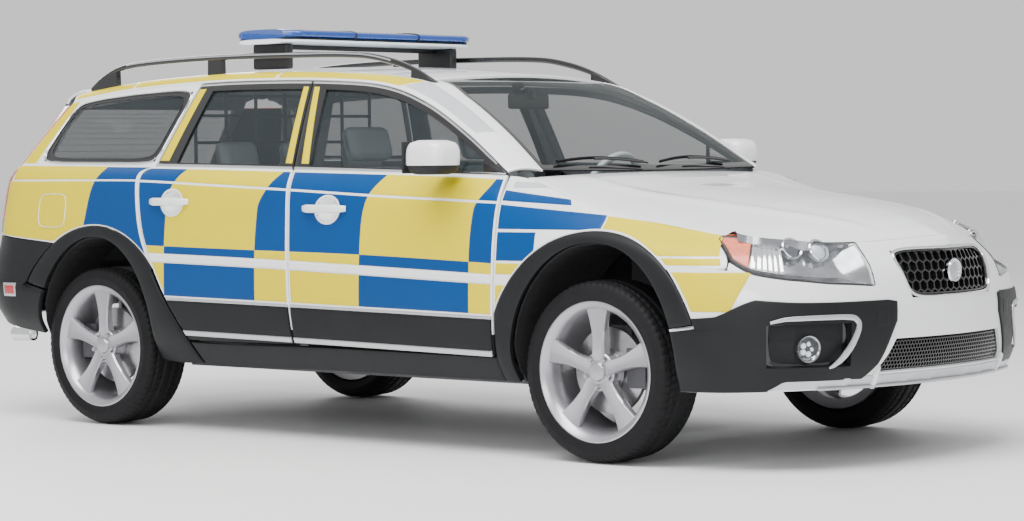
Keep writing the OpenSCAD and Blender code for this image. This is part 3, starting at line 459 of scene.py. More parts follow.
PAINT = finish("paint", (0.86, 0.87, 0.88), 0.22, 0.02, 3, 0.02, 2500, Coat_Weight=0.8, Coat_Roughness=0.03)
YELLOW = finish("yellow_film", (0.70, 0.56, 0.0), 0.4, 0.02, 4, 0.05, 1600, Specular_IOR_Level=0.2)
BLUE = finish("blue_film", (0.0, 0.05, 0.20), 0.4, 0.04, 4, 0.05, 1600, Specular_IOR_Level=0.2)
GREY_FILM = finish("grey_film", (0.50, 0.52, 0.54), 0.3, 0.04, 4, 0.05, 1600, Coat_Weight=0.4)
CLADDING = finish("cladding", (0.009, 0.010, 0.011), 0.45, 0.12, 8, 0.3, 700,
                  Specular_IOR_Level=0.22)
GLOSS_BLACK = finish("gloss_black", (0.008, 0.008, 0.009), 0.12, 0.2, 5, 0.02, Coat_Weight=0.5)
LINER = finish("liner", (0.010, 0.010, 0.011), 0.75, 0.2, 9, 0.5, 500)
SILVER = finish("silver_trim", (0.55, 0.56, 0.58), 0.3, 0.02, 7, 0.01, 1500, Metallic=0.8)
CHROME = finish("chrome", (0.85, 0.86, 0.88), 0.08, 0.02, 5, 0.01, Metallic=1.0)
ALLOY = finish("alloy", (0.44, 0.43, 0.46), 0.32, 0.02, 9, 0.01, 1900, Metallic=0.8, Coat_Weight=0.3)
RUBBER = finish("tyre_rubber", (0.006, 0.006, 0.007), 0.62, 0.15, 12, 0.3, 900,
                Specular_IOR_Level=0.2)
IRON = finish("iron", (0.10, 0.10, 0.11), 0.5, 0.2, 14, 0.5, 260, Metallic=0.7)
STEEL = finish("brake_steel", (0.42, 0.42, 0.43), 0.3, 0.1, 30, 0.3, wave=(60, "Y"), Metallic=0.9)
LEATHER = finish("leather", (0.50, 0.56, 0.58), 0.5, 0.06, 10, 0.5, 420)
TRIM = finish("inner_trim", (0.20, 0.215, 0.23), 0.6, 0.08, 8, 0.4, 500)
DARK_TRIM = finish("dark_trim", (0.016, 0.017, 0.018), 0.6, 0.1, 8, 0.4, 500,
                   Specular_IOR_Level=0.25)
LINING = finish("roof_lining", (0.42, 0.43, 0.43), 0.85, 0.05, 12, 0.6, 380)
BLACK_METAL = finish("black_metal", (0.012, 0.012, 0.013), 0.4, 0.1, 20, 0.2, 800)
ORANGE = finish("orange_lens", (0.80, 0.10, 0.0), 0.15, 0.25, 45, 0.7, wave=(70, "Z"), Coat_Weight=0.6)
BOWL = finish("lamp_bowl", (0.36, 0.37, 0.39), 0.14, 0.2, 16, 0.15, 90, Metallic=0.95)
RED = finish("red_lens", (0.42, 0.006, 0.01), 0.14, 0.2, 20, 0.4, wave=(60, "Z"), Coat_Weight=0.8)
PINK = finish("red_lens_upper", (0.50, 0.10, 0.10), 0.16, 0.15, 20, 0.3, wave=(60, "Z"), Coat_Weight=0.8)
LAMP_WHITE = finish("lamp_glow", (0.85, 0.92, 1.0), 0.2, 0.05, 60, 0.4, 120)
BLUE_CELLS = finish("blue_cells", (0.01, 0.10, 0.55), 0.2, 0.35, 26, 0.6, wave=(30, "Y"), Coat_Weight=0.5)
DISPLAY = finish("display", (0.02, 0.03, 0.04), 0.1, 0.2, 9, 0.02, Coat_Weight=0.5)


def clear(name, colour, alpha, rough=0.03, **sockets):
    m = finish(name, colour, rough, 0.04, 4, 0.01, 300, **sockets)
    shader = m.node_tree.nodes["Principled BSDF"]
    shader.inputs["Alpha"].default_value = alpha
    shader.inputs["Specular IOR Level"].default_value = 0.8
    return m


GLASS = clear("clear_glass", (0.03, 0.045, 0.05), 0.26)
SIDE_GLASS = clear("side_glass", (0.02, 0.03, 0.035), 0.36)
LENS = clear("clear_lens", (0.75, 0.78, 0.82), 0.08)
BLUE_LENS = clear("blue_lens", (0.0, 0.06, 0.34), 0.75, 0.1, Coat_Weight=0.6)
WHITE_LENS = clear("frosted_lens", (0.75, 0.82, 0.88), 0.8, 0.2, Coat_Weight=0.6)


# ---- doors ----
DOORS = {
    "front": dict(front=lambda t: DOOR_FRONT - SEAM / 2 - np.maximum(0, 14 * (t - 5)),
                  back=lambda t: b_cut(t) + SEAM / 2, top=(878, B_TOP + SEAM / 2),
                  pane=(0.1, 0.925), cup=(6, 955)),
    "rear": dict(front=lambda t: b_cut(t) - SEAM / 2, back=lambda t: c_cut(t) + SEAM,
                 top=(B_TOP - SEAM / 2, C_TOP + SEAM), pane=(0.055, 0.86), cup=(-925, 982))}


def door_point(d, F, V):
    """Point of a door: F from front to back, V the level, then 7 sill, 8 top of the pane, 9 edge."""
    t = np.minimum(V, BELT)
    x = mix(d["front"](t), d["back"](t), F)
    xt = mix(*d["top"], F)
    h = EAVE(eave_at(xt))[..., 3] - low(x, BELT)[..., 2]
    top = np.maximum(0.3, 1 - 1.6 * SEAM / h)
    mid = np.maximum(0.12, np.minimum(1 - (SEAM + 34) / h, top - 0.08))
    s = np.where(V < 7, 0.05 * (V - 6), np.where(V < 8, mix(0.05, mid, V - 7), mix(mid, top, V - 8)))
    above = cabin(mix(d["front"](BELT + 0 * t), d["back"](BELT + 0 * t), F), np.maximum(s, 0), xt
                  - mix(d["front"](BELT + 0 * t), d["back"](BELT + 0 * t), F))
    return np.where(V[..., None] <= BELT, low(x, t), above)


def make_door(which, side, mirror):
    d = DOORS[which]
    body = f"{which}_door_{side}"
    cx, cz = d["cup"]
    level = float(at_height(cx, cz))
    f0 = float((d["front"](level) - cx) / (d["front"](level) - d["back"](level)))
    a, b = d["pane"]
    F = ticks((0, a, 0.02), (a, f0 - 0.07, 0.02), (f0 - 0.07, f0 + 0.07, 0.006), (f0 + 0.07, b, 0.02),
              (b, 1, 0.02))
    V = ticks((1, level - 0.34, 0.14), (level - 0.34, level + 0.34, 0.035), (level + 0.34, 6, 0.08),
              (6, 7, 1), (7, 8, 0.08), (8, 9, 0.5))
    G = grid(F, V)
    P = door_point(d, *G)
    rho = ((P[..., 0] - cx) / 62) ** 2 + ((P[..., 2] - cz) / 50) ** 2
    P = P - normals(P) * (20 * np.clip(1 - rho, 0, 1) ** 1.5)[..., None]
    ia, ib = np.searchsorted(F, a - 1e-6), np.searchsorted(F, b - 1e-6)
    j7, j8 = np.searchsorted(V, 7 - 1e-6), np.searchsorted(V, 8 - 1e-6)
    zone = np.zeros((len(F) - 1, len(V) - 1), int)
    zone[:, V[:-1] >= 6] = 1
    zone[:, V[:-1] < at_height(cx, 462)] = 2
    slope = np.clip((G[1] - 1.4) / 0.8, 0, 1) * np.clip(8 * np.minimum(G[0], 1 - G[0]), 0, 1)
    deep = np.where(G[1] < 6, 70 * slope, 0)
    skin = panel(f"{which}_door_skin_{side}", P, body, [PAINT, GLOSS_BLACK, CLADDING, TRIM], 14, 3,
                 [(ia, ib, j7, j8)], np.maximum(deep, 20), zone, mirror)
    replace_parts(skin, f"{which}_door_{side}")
    W = grid(F[ia:ib + 1], V[j7:j8 + 1])
    pane = door_point(d, *W)
    N = normals(pane)
    glass = panel(f"{which}_door_pane_{side}", pane - N * 7, body, [SIDE_GLASS], 5, 0.5, inner=5,
                  mirror=mirror)
    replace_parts(glass, f"{which}_glass_{side}")
    add_door_trim(which, side, mirror, d, body)


def add_door_trim(which, side, mirror, d, body):
    """Lower cladding with a painted edge highlight, bright strip, rub strip, handle, waist strip and window
    surround of one door.
    """
    edge = lambda z, end, gap: d[end](at_height(d[end](3 + 0 * z), z)) + gap
    front = lambda z: edge(z, "front", -4)
    back = lambda z: edge(z, "back", 4)
    plate = side_patch(front, back, 404, lambda x: CLAD_TOP(x)[..., 1] - 12, 14)
    panel(f"{which}_door_cladding_{side}", plate + normals(plate) * 9, body, [CLADDING], 12, 5,
          mirror=mirror)
    # Painted highlight: this silver strip on the cladding's top-facing bevel stands in for the light caught
    # there.
    bevel = side_patch(front, back, lambda x: CLAD_TOP(x)[..., 1] - 12, lambda x: CLAD_TOP(x)[..., 1] + 1, 5)
    panel(f"{which}_door_cladding_edge_{side}", bevel + normals(bevel) * 5, body, [SILVER], 7, 3,
          mirror=mirror)
    strip = side_patch(front, back, lambda x: STRIP_Z(x)[..., 1] - 11, lambda x: STRIP_Z(x)[..., 1] + 11, 5)
    panel(f"{which}_door_strip_{side}", strip + normals(strip) * 14, body, [SILVER], 8, 5, mirror=mirror)
    rub = side_patch(front, back, lambda x: RUB_Z(x)[..., 1] - 16, lambda x: RUB_Z(x)[..., 1] + 16, 6)
    panel(f"{which}_door_rub_strip_{side}", rub + normals(rub) * 5, body, [PAINT], 6, 5, mirror=mirror)
    cx, cz = d["cup"]
    xs = np.linspace(cx - 136, cx + 106, 15)
    stand = np.interp(xs, [cx - 136, cx - 112, cx - 60, cx, cx + 60, cx + 90, cx + 106],
                      [3, 16, 25, 28, 26, 16, 3])
    path = on_side(xs, cz + 4, 0) + np.stack([0 * xs, stand, 0 * xs], -1)
    wide = np.interp(xs, [xs[0], xs[2], xs[-3], xs[-1]], [0.75, 1, 1, 0.7])
    sweep(f"{which}_door_handle_{side}", path, ring(15, 34, 20, 0.75), body, PAINT, up=(0, 0, 1),
          scale=wide, mirror=mirror)
    a = np.linspace(0, 2 * math.pi, 61)[:-1]
    bezel = on_side(cx + 67 * np.cos(a), cz + 55 * np.sin(a), -1.5)
    sweep(f"{which}_door_cup_bezel_{side}", bezel, ring(11, 2.6, 10, 0.9), body, PAINT, up=(0, 1, 0),
          closed=True, mirror=mirror)
    F = np.linspace(0.004, 0.996, 60)
    waist = door_point(d, F, np.full(60, 6.3))
    sweep(f"{which}_waist_strip_{side}", waist, ring(7, 16, 12, 0.8), body, CHROME, mirror=mirror)
    head = door_point(d, F if which == "rear" else F[2:], np.full(len(F) - (which != "rear") * 2, 8.93))
    sweep(f"{which}_window_strip_{side}", head, ring(6, 9, 12, 0.8), body, CHROME, mirror=mirror)


CLAD_TOP = Curve([[-1160, 578], [-300, 566], [300, 556], [910, 545]])
STRIP_Z = Curve([[-1160, 432], [-200, 420], [910, 402]])
RUB_Z = Curve([[-1160, 748], [-300, 728], [300, 709], [910, 688]])
ROW_Z = Curve([[-1160, 800], [-960, 795], [-405, 785], [190, 775], [785, 755], [910, 750]])
CREASE_Z = Curve([[-1600, 1078], [-1140, 1075], [-700, 1057], [-210, 1035], [300, 1010], [910, 985]])
WAIST_Z = Curve([[-2000, 1142], [-1080, 1130], [-150, 1108], [600, 1088], [910, 1075]])


def side_patch(left, right, low_z, high_z, step=15):
    """Points over a patch of the side. Each edge is a number or a function along the other axis."""
    fn = lambda e: e if callable(e) else (lambda v: e + 0 * v)
    left, right, low_z, high_z = map(fn, (left, right, low_z, high_z))
    z = np.array(800.0)
    wide = abs(float(left(z)) - float(right(z)))
    x0 = (float(left(z)) + float(right(z))) / 2
    tall = abs(float(high_z(np.array(x0))) - float(low_z(np.array(x0))))
    A, B = grid(np.linspace(0, 1, max(4, int(wide / 16) + 2)),
                np.linspace(0, 1, max(3, int(tall / step) + 2)))
    x = x0 + 0 * A
    for _ in range(6):
        z = mix(low_z(x), high_z(x), B)
        x = mix(left(z), right(z), A)
    return on_side(x, z)


# ---- livery ----
Q_EDGE = Curve([[880, -1500], [1050, -1460], [1135, -1410]])
D1_EDGE = Curve([[560, -962], [1000, -958], [1060, -930], [1130, -885]])
D2_EDGE = Curve([[560, -405], [960, -398], [1040, -355], [1115, -300]])
F1_EDGE = Curve([[560, 195], [880, 198], [960, 208], [1020, 230], [1095, 282]])
F2_EDGE = Curve([[560, 785], [960, 790], [1050, 840], [1090, 858]])
FILM_GAP = 9


def along(curve, shift=0):
    return lambda v: curve(v)[..., 1] + shift


def cut_edge(cut, shift, x0):
    return lambda z: cut(at_height(x0, z)) + shift


def livery_rows():
    """The bands of the doors, from the cladding up: lower edge, upper edge, whether the colours swap."""
    return ((along(CLAD_TOP, 8), along(RUB_Z, -20), True), (along(RUB_Z, 20), along(ROW_Z), True),
            (along(ROW_Z), along(CREASE_Z, -5), False), (along(CREASE_Z, 5), along(WAIST_Z, -2), False))


def make_livery(side, mirror):
    front = lambda z: DOOR_FRONT - 3 - FILM_GAP - np.maximum(0, 14 * (at_height(900.0, z) - 5))
    columns = [("rear", cut_edge(c_cut, SEAM + FILM_GAP, -1100.0), along(D1_EDGE), BLUE, YELLOW),
               ("rear", along(D1_EDGE), along(D2_EDGE), YELLOW, BLUE),
               ("rear", along(D2_EDGE), cut_edge(b_cut, -3 - FILM_GAP, -220.0), BLUE, YELLOW),
               ("front", cut_edge(b_cut, 3 + FILM_GAP, -220.0), along(F1_EDGE), BLUE, YELLOW),
               ("front", along(F1_EDGE), along(F2_EDGE), YELLOW, BLUE),
               ("front", along(F2_EDGE), front, BLUE, YELLOW)]
    for c, (door, left, right, upper, lower) in enumerate(columns):
        cup = DOORS[door]["cup"]
        for r, (z0, z1, swap) in enumerate(livery_rows()):
            P = side_patch(right, left, z0, z1, 6 if r == 2 else 12)
            rho = ((P[..., 0] - cup[0]) / 62) ** 2 + ((P[..., 2] - cup[1]) / 50) ** 2
            has_cup = rho.min() < 1
            name = f"{door}_door_film_{c}_{r}_{side}"
            colour = lower if swap else upper
            if has_cup and r == 2:
                film_round_cup(name, P, rho, f"{door}_door_{side}", colour, mirror)
            else:
                film(name, P, f"{door}_door_{side}", colour, mirror)
    make_body_films(side, mirror)


def film_round_cup(name, P, rho, body, mat, mirror):
    """A film with an opening round the handle's cup."""
    V = P + normals(P) * 1.0
    n, m = P.shape[:2]
    mid = (rho[:-1, :-1] + rho[1:, 1:] + rho[1:, :-1] + rho[:-1, 1:]) / 4
    faces = quads(n, m, keep=mid > 1.12)
    piece(name, V, faces, body, mat, mirror=mirror)


def arch_top(c, gap=4):
    return lambda x: TRIM_Z + np.sqrt(np.maximum(0, (TRIM_R + gap) ** 2 - (x - c) ** 2))


def arch_side(c, sign, gap=5):
    return lambda z: c + sign * np.sqrt(np.maximum(0, (TRIM_R + gap) ** 2 - (z - TRIM_Z) ** 2))


def make_body_films(side, mirror):
    """Films on the fender, the quarter and the roof edge."""
    add = lambda name, colour, P: film(f"{name}_{side}", P, "body", colour, mirror)
    back = DOOR_FRONT + 3 + FILM_GAP
    add("fender_film_a", GREY_FILM, side_patch(1180, back + 30, 1042, lambda x: 1066 + (x - 930) * -0.03, 8))
    add("fender_film_b", BLUE, side_patch(lambda z: 1215 + (1020 - z) * 0.5, back,
                                          lambda x: 993 - (x - 920) * 0.06,
                                          lambda x: 1033 - (x - 920) * 0.12, 8))
    low_edge = lambda x: np.maximum(884 - (x - 920) * 0.005, arch_top(XF)(x) + 3)
    add("fender_film_c", BLUE, side_patch(1405, back, low_edge, lambda x: 978 - (x - 920) * 0.085, 8))
    add("fender_film_d", BLUE, side_patch(lambda z: np.minimum(1110.0, arch_side(XF, -1)(z)), back, 762, 872,
                                          8))
    add("fender_film_e", YELLOW, side_patch(arch_side(XF, -1), back, along(RUB_Z, 22), 752, 8))
    add("fender_film_f", YELLOW, side_patch(arch_side(XF, -1), back, 585, along(RUB_Z, -20), 10))
    add("fender_film_g", YELLOW, side_patch(lambda z: 1930 + (880 - z) * 0.3, 1412,
                                            lambda x: np.maximum(arch_top(XF)(x) + 3, 790.0),
                                            lambda x: 934 - (x - 1412) * 0.115, 8))
    add("fender_film_h", YELLOW,
        side_patch(lambda z: 1968 + (770 - z) * 0.35, arch_side(XF, 1, 12), 757, 782, 8))
    add("bumper_film", YELLOW, side_patch(lambda z: 2000 + (z - 560) * 0.55, arch_side(XF, 1, 12), 590, 732,
                                          10))
    rear_low = lambda x: np.maximum(arch_top(XR)(x) + 2, 808 + (-1700 - x) * 0.07)
    add("quarter_film_a", YELLOW, side_patch(along(Q_EDGE), -2118, rear_low, along(CREASE_Z, -2), 12))
    add("quarter_film_b", YELLOW, side_patch(along(Q_EDGE), -2060, along(CREASE_Z, 6), along(WAIST_Z, 4), 8))
    near_cut = cut_edge(c_cut, -3 - FILM_GAP, -1100.0)
    add("quarter_film_c", BLUE, side_patch(near_cut, along(Q_EDGE), lambda x: arch_top(XR)(x) + 2,
                                           along(CREASE_Z, -2), 12))
    add("quarter_film_d", BLUE, side_patch(near_cut, along(Q_EDGE), along(CREASE_Z, 6), along(WAIST_Z, 2),
                                           8))
    for k, (w0, w1) in enumerate(((2.75, 4.62), (4.66, 6.98), (7.02, 8.9))):
        add(f"roof_edge_film_{k}", YELLOW,
            rail_point(*grid(np.linspace(w0, w1, 60), np.linspace(0.1, 0.6, 10))))
    add("pillar_film", GREY_FILM, rail_point(*grid(np.linspace(0.9, 2.7, 40), np.linspace(0.16, 0.66, 8))))
    for name, door, xb, xt in (("post_film_a", "front", (-172, -214), (-266, -296)),
                               ("post_film_b", "rear", (-271, -309), (-328, -358)),
                               ("post_film_c", "rear", (-1036, -1092), (-950, -990))):
        A, B = grid(np.linspace(0, 1, 5), np.linspace(0.07, 0.92, 24))
        P = cabin(mix(xb[0], xb[1], A), B, mix(xt[0], xt[1], A) - mix(xb[0], xb[1], A))
        film(f"{name}_{side}", P, f"{door}_door_{side}", YELLOW, mirror, 1.5)


for side, mirror in SIDES:
    for which in DOORS:
        make_door(which, side, mirror)
    make_livery(side, mirror)


# ---- fixed side panels ----
FENDER_LOW = 745
FENDER_FRONT = Curve([[3.4, 1988], [4.0, 1996], [4.3, 1982], [4.85, 1920], [5.2, 1913], [6, 1913]])


def make_fender(side, mirror):
    a = np.radians(ticks((21.6, 133.4, 2)))
    xs = np.concatenate([np.maximum(XF - TRIM_R * np.cos(a), DOOR_FRONT + 3), np.linspace(1748, 1988, 14)])
    low_z = np.where(xs < 1742, TRIM_Z + np.sqrt(np.maximum(0, TRIM_R**2 - (xs - XF) ** 2)), FENDER_LOW)
    t0 = at_height(xs, low_z)
    J = np.linspace(0, 1, 26)
    T = mix(t0[:, None], BELT - 0.03, J[None])
    edge = FENDER_FRONT(mix(t0[-1], BELT, J))[:, 1]
    share = (xs - xs[0]) / (xs[-1] - xs[0])
    U = mix(xs[0], edge[None], share[:, None])
    U[:, 0] = xs
    P = low(U, T)[::-1]
    skin = panel(f"fender_{side}", P, "body", [PAINT], 9, 3, mirror=mirror)
    return skin


def quarter_point(C, V):
    """Point of the rear quarter: C from the door to the lamp, V 0 to 1 below the belt, 2 at the eave."""
    a = np.radians(40 + 82.5 * np.clip(C / 0.6, 0, 1))
    x_low = np.where(C < 0.6, XR + TRIM_R * np.cos(a),
                     mix(XR + TRIM_R * math.cos(math.radians(122.5)), -2132,
                                                           (C - 0.6) / 0.4))
    z_low = np.where(x_low > -1702, TRIM_Z + np.sqrt(np.maximum(0, TRIM_R**2 - (x_low - XR) ** 2)),
                     mix(801, 832, (-1702 - x_low) / 400))
    v = np.minimum(V, 1)
    t = mix(at_height(x_low, z_low), BELT, v)
    front = TRIM_R * math.cos(math.radians(40))
    share = (x_low - (XR + front)) / (-2132 - XR - front)
    first = at_height(np.array(-1034.0), 698.0)
    t_end = mix(first, BELT, v)
    u = np.where(V <= 0, x_low, mix(c_cut(t_end) - 3, d_cut(np.maximum(t, 3)), share))
    u = mix(x_low, u, np.clip(v * 8, 0, 1))
    s = np.clip(V - 1, 0, 1)
    warp = np.where(share < 0.8, share / 0.8 * mix(0.745, 0.875, s),
                    mix(mix(0.745, 0.875, s), 1, (share - 0.8) / 0.2))
    ub = mix(c_cut(BELT) - 3.0, d_cut(BELT), warp)
    ut = mix(C_TOP - 3.0, D_TOP, warp)
    b, e = low(ub, BELT), EAVE(eave_at(ut))[..., 1:]
    above = mix(b, e, s[..., None])
    above[..., 1] += 22 * s * (1 - s)
    blend = np.clip(v, 0, 1) ** 3
    u = mix(u, ub, blend)
    return np.where(V[..., None] <= 1, low(u, t), above)


def make_quarter(side, mirror):
    C = ticks((0, 0.035, 0.01), (0.035, 0.6, 0.02), (0.6, 0.862, 0.02), (0.862, 1, 0.02))
    V = ticks((0, 1, 0.045), (1, 1.06, 0.06), (1.06, 1.9, 0.07), (1.9, 0.9975 + 1, 0.05))
    G = grid(C, V)
    P = quarter_point(*G)
    hole = (3, int(np.searchsorted(C, 0.862 - 1e-6)), int(np.searchsorted(V, 1.06 - 1e-6)),
            int(np.searchsorted(V, 1.9 - 1e-6)))
    zone = np.zeros((len(C) - 1, len(V) - 1), int)
    panel(f"rear_quarter_{side}", P, "body", [PAINT, LINING], 12, 3, [hole], 30, zone, mirror, wall=30)
    Cw, Vw = C[3:hole[1] + 1], V[hole[2]:hole[3] + 1]
    W = quarter_point(*grid(Cw, Vw))
    panel(f"quarter_pane_{side}", W - normals(W) * 3, "body", [SIDE_GLASS], 5, 0.5, inner=5, mirror=mirror)
    add_quarter_trim(side, mirror, Cw, Vw)


def add_quarter_trim(side, mirror, Cw, Vw):
    """Black border, bright window strip and D-pillar film of one rear quarter."""
    k = 26
    c0, c1, v0, v1 = Cw[0], Cw[-1], Vw[0], Vw[-1]
    corner = lambda a: np.sign(a) * np.abs(a) ** 0.28
    a = np.linspace(0, 2 * math.pi, 4 * k + 1)[:-1]
    path = lambda gap: quarter_point((c0 + c1) / 2 + (c1 - c0) / 2 * (1 + gap) * corner(np.cos(a)),
                                     (v0 + v1) / 2 + (v1 - v0) / 2 * (1 + gap * 1.4) * corner(np.sin(a)))
    inside, outside = path(-0.055), path(0.02)
    P = np.stack([inside, mix(inside, outside, 0.5), outside])
    P = np.concatenate([P, P[:, :1]], 1)[::-1]
    P[..., 1] += 1.2
    panel(f"quarter_window_border_{side}", P, "body", [GLOSS_BLACK], 3, 0.8, mirror=mirror)
    line = path(0.045)
    line[:, 1] += 2
    sweep(f"quarter_window_strip_{side}", line, ring(6, 8, 10, 0.8), "body", CHROME, up=(0, 1, 0),
          closed=True, mirror=mirror)
    A, B = grid(np.linspace(0.90, 0.992, 8), np.linspace(1.03, 1.97, 24))
    film(f"tail_pillar_film_{side}", quarter_point(A, B), "body", YELLOW, mirror)
    x, z, w, h = -1722, 945, 92, 74
    b = np.linspace(0, 2 * math.pi, 49)[:-1]
    flap = lambda g: on_side(x + (w + g) * np.sign(np.cos(b)) * np.abs(np.cos(b)) ** 0.45,
                             z + (h + g) * np.sign(np.sin(b)) * np.abs(np.sin(b)) ** 0.45, -1.4)
    if mirror:
        sweep("fuel_flap_seam", flap(0), ring(3, 5, 8, 0.9), "body", PAINT, up=(0, 1, 0), closed=True,
              mirror=True)


def arch_hole(c, sign, a, h, f):
    return c + sign * a * np.cos(np.radians(f)), ARCH_Z + h * np.sin(np.radians(f))


def make_arch(side, mirror, which):
    front = which == "front"
    f = ticks((-9, 160 if front else 150, 2.2))
    s = ticks((0, 1, 0.1))
    fr = np.radians(f)
    if front:
        hx, hz = arch_hole(XF, -1, 400, 470, f)
        ex = np.where(f < 21, DOOR_FRONT + 3, np.maximum(XF - TRIM_R * np.cos(fr), DOOR_FRONT + 3))
        ez = np.where(f < 21, mix(294, 556, (f + 9) / 30.6), TRIM_Z + TRIM_R * np.sin(fr))
    else:
        hx, hz = arch_hole(XR, 1, 378, 465, f)
        z = mix(294, 697, (f + 9) / 49)
        ex = np.where(f < 39, c_cut(at_height(-1000.0 + 0 * z, z)) - SEAM - 3, XR + TRIM_R * np.cos(fr))
        ez = np.where(f < 39, z, TRIM_Z + TRIM_R * np.sin(fr))
    S = s[None]
    X, Z = mix(hx[:, None], ex[:, None], S), mix(hz[:, None], ez[:, None], S)
    P = on_side(X, Z)
    if front:
        P = P[::-1]
    P = P + normals(P) * (7 * np.sin(np.pi * np.clip(S[0] * 0.95 + 0.05, 0, 1)) ** 0.5)[None, :, None]
    panel(f"{which}_arch_trim_{side}", P, "body", [CLADDING], 22, 5, mirror=mirror)


def make_sill(side, mirror):
    F, T = grid(np.linspace(0, 1, 90), np.linspace(0, 0.92, 12))
    u = mix(DOOR_FRONT + 2.7, c_cut(T) + 8, F)
    panel(f"sill_cover_{side}", low(u, T), "body", [CLADDING], 20, 4, mirror=mirror)


def make_rail_panel(side, mirror):
    W, S = grid(np.linspace(0, 9, 140), np.linspace(0, 1, 12))
    zone = np.zeros((139, 11), int)
    panel(f"cant_rail_{side}", rail_point(W, S), "body", [PAINT, LINING], 8, 1.5, inner=26, zone=zone,
          mirror=mirror)


# ---- roof, screens and lids ----
def make_roof():
    W, V = grid(ticks((3, 8.97, 0.06)), np.linspace(-1, 1, 40))
    b = BROW(W)
    k = 1 - V * V
    P = stack(b[..., 1] + (30 * np.clip(4 - W, 0, 1) - 10 * np.clip(W - 7, 0, 2)) * k,
              -V * (b[..., 2] - 0.3),
              b[..., 3] + 26 * k)
    roof = panel("roof_panel", P, "body", [PAINT, LINING], 12, 2, inner=24)
    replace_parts(roof, "roof", "cant_rails")


def screen(W, V, g=0):
    b = BROW(W)
    k = 1 - V * V
    return stack(b[..., 1] + (38 - 3 * W) * k - g, -V * (b[..., 2] - 3.1),
                 b[..., 3] + (5 * W - 8) * k - 0.8 * g)


def make_windscreen():
    W, V = ticks((0.02, 0.14, 0.06), (0.14, 2.84, 0.08), (2.84, 2.96, 0.06)), ticks((-1, -0.965, 0.02),
                                                                                    (-0.965, 0.965, 0.05),
                                                              (0.965, 1, 0.02))
    G = grid(W, V)
    wm, vm = (W[:-1] + W[1:]) / 2, (V[:-1] + V[1:]) / 2
    zone = ((wm[:, None] < 0.14) | (wm[:, None] > 2.84) | (np.abs(vm[None]) > 0.965)).astype(int)
    glass = panel("windscreen_pane", screen(*G, 2), "body", [GLASS, GLOSS_BLACK], 5, 1, zone=zone)
    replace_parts(glass, "windscreen")
    arms = []
    for k, (a, b) in enumerate(((-0.72, -0.04), (0.12, 0.86))):
        v = np.linspace(a, b, 30)
        w = 0.17 + 0.10 * np.sin((v - a) / (b - a) * math.pi)
        arms.append(sweep(f"wiper_blade_{k}", screen(w, v, -9), ring(9, 12, 10), "body", RUBBER,
                          up=(0.5, 0, 1)))
        sweep(f"wiper_arm_{k}", screen(w[:18] - 0.06, v[:18], -17), ring(14, 7, 10), "body", BLACK_METAL,
              up=(0.5, 0, 1))
    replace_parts(arms[0], "wipers")


CROWN = Curve([[0, 14], [0.1, 44], [0.3, 88], [0.55, 104], [0.8, 76], [0.93, 35], [1, 0]])
HOOD_BACK, HOOD_CORNER = 997, 2600


def hood(K, V):
    """Point of the bonnet: K from the screen to the nose, V across."""
    p = low(mix(HOOD_BACK, HOOD_CORNER, K), BELT, SEAM + 4)
    q = low(HOOD_CORNER, BELT, SEAM + 4)
    f = low(mix(U_NOSE, HOOD_CORNER, np.abs(V)), BELT, SEAM + 4)
    c = 1 - np.abs(V) ** 2.4
    x = p[..., 0] + 46 * (1 - V * V) * (1 - K) ** 3 + K**3 * (f[..., 0] - q[0])
    y = V * p[..., 1] + K**3 * (np.sign(V) * f[..., 1] - V * q[1])
    z = p[..., 2] + CROWN(K)[..., 1] * c + K**3 * (f[..., 2] - q[2])
    ends = np.clip(6 * K, 0, 1) * np.clip(5 * (1 - K), 0, 1)
    ridge = 7 * np.exp(-((np.abs(V) - mix(0.70, 0.50, K)) / 0.055) ** 2) * ends
    return stack(x, y, z + ridge)


def make_bonnet():
    K, V = grid(np.linspace(0, 1, 90), np.linspace(-1, 1, 81))
    deep = 24 * np.clip(6 * np.minimum(1 - np.abs(V), 1 - K), 0, 1)
    skin = panel("bonnet_skin", hood(K, V), "bonnet", [PAINT, DARK_TRIM], 11, 3, inner=np.maximum(deep, 11),
                 zone=np.zeros((89, 80), int))
    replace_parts(skin, "bonnet")


TAILGATE = [[840, 596, -2352, -2318], [900, 598, -2346, -2306], [1000, 600, -2332, -2284],
            [1080, 600, -2314, -2256], [1140, 600, -2296, -2228], [1300, 590, -2205, -2120],
            [1420, 572, -2118, -2020], [1462, 566, -2092, -1985], [1484, 566, -1990, -1925],
            [1492, 566, -1892, -1873]]
GATE_ROWS = Curve([[k] + r for k, r in enumerate(TAILGATE)])


def gate(V, K):
    r = GATE_ROWS(K)
    c = 1 - np.abs(V) ** 2.2
    return stack(mix(r[..., 4], r[..., 3], c), -V * r[..., 2], r[..., 1] + np.clip(K - 6, 0, 1) * 22 * c)


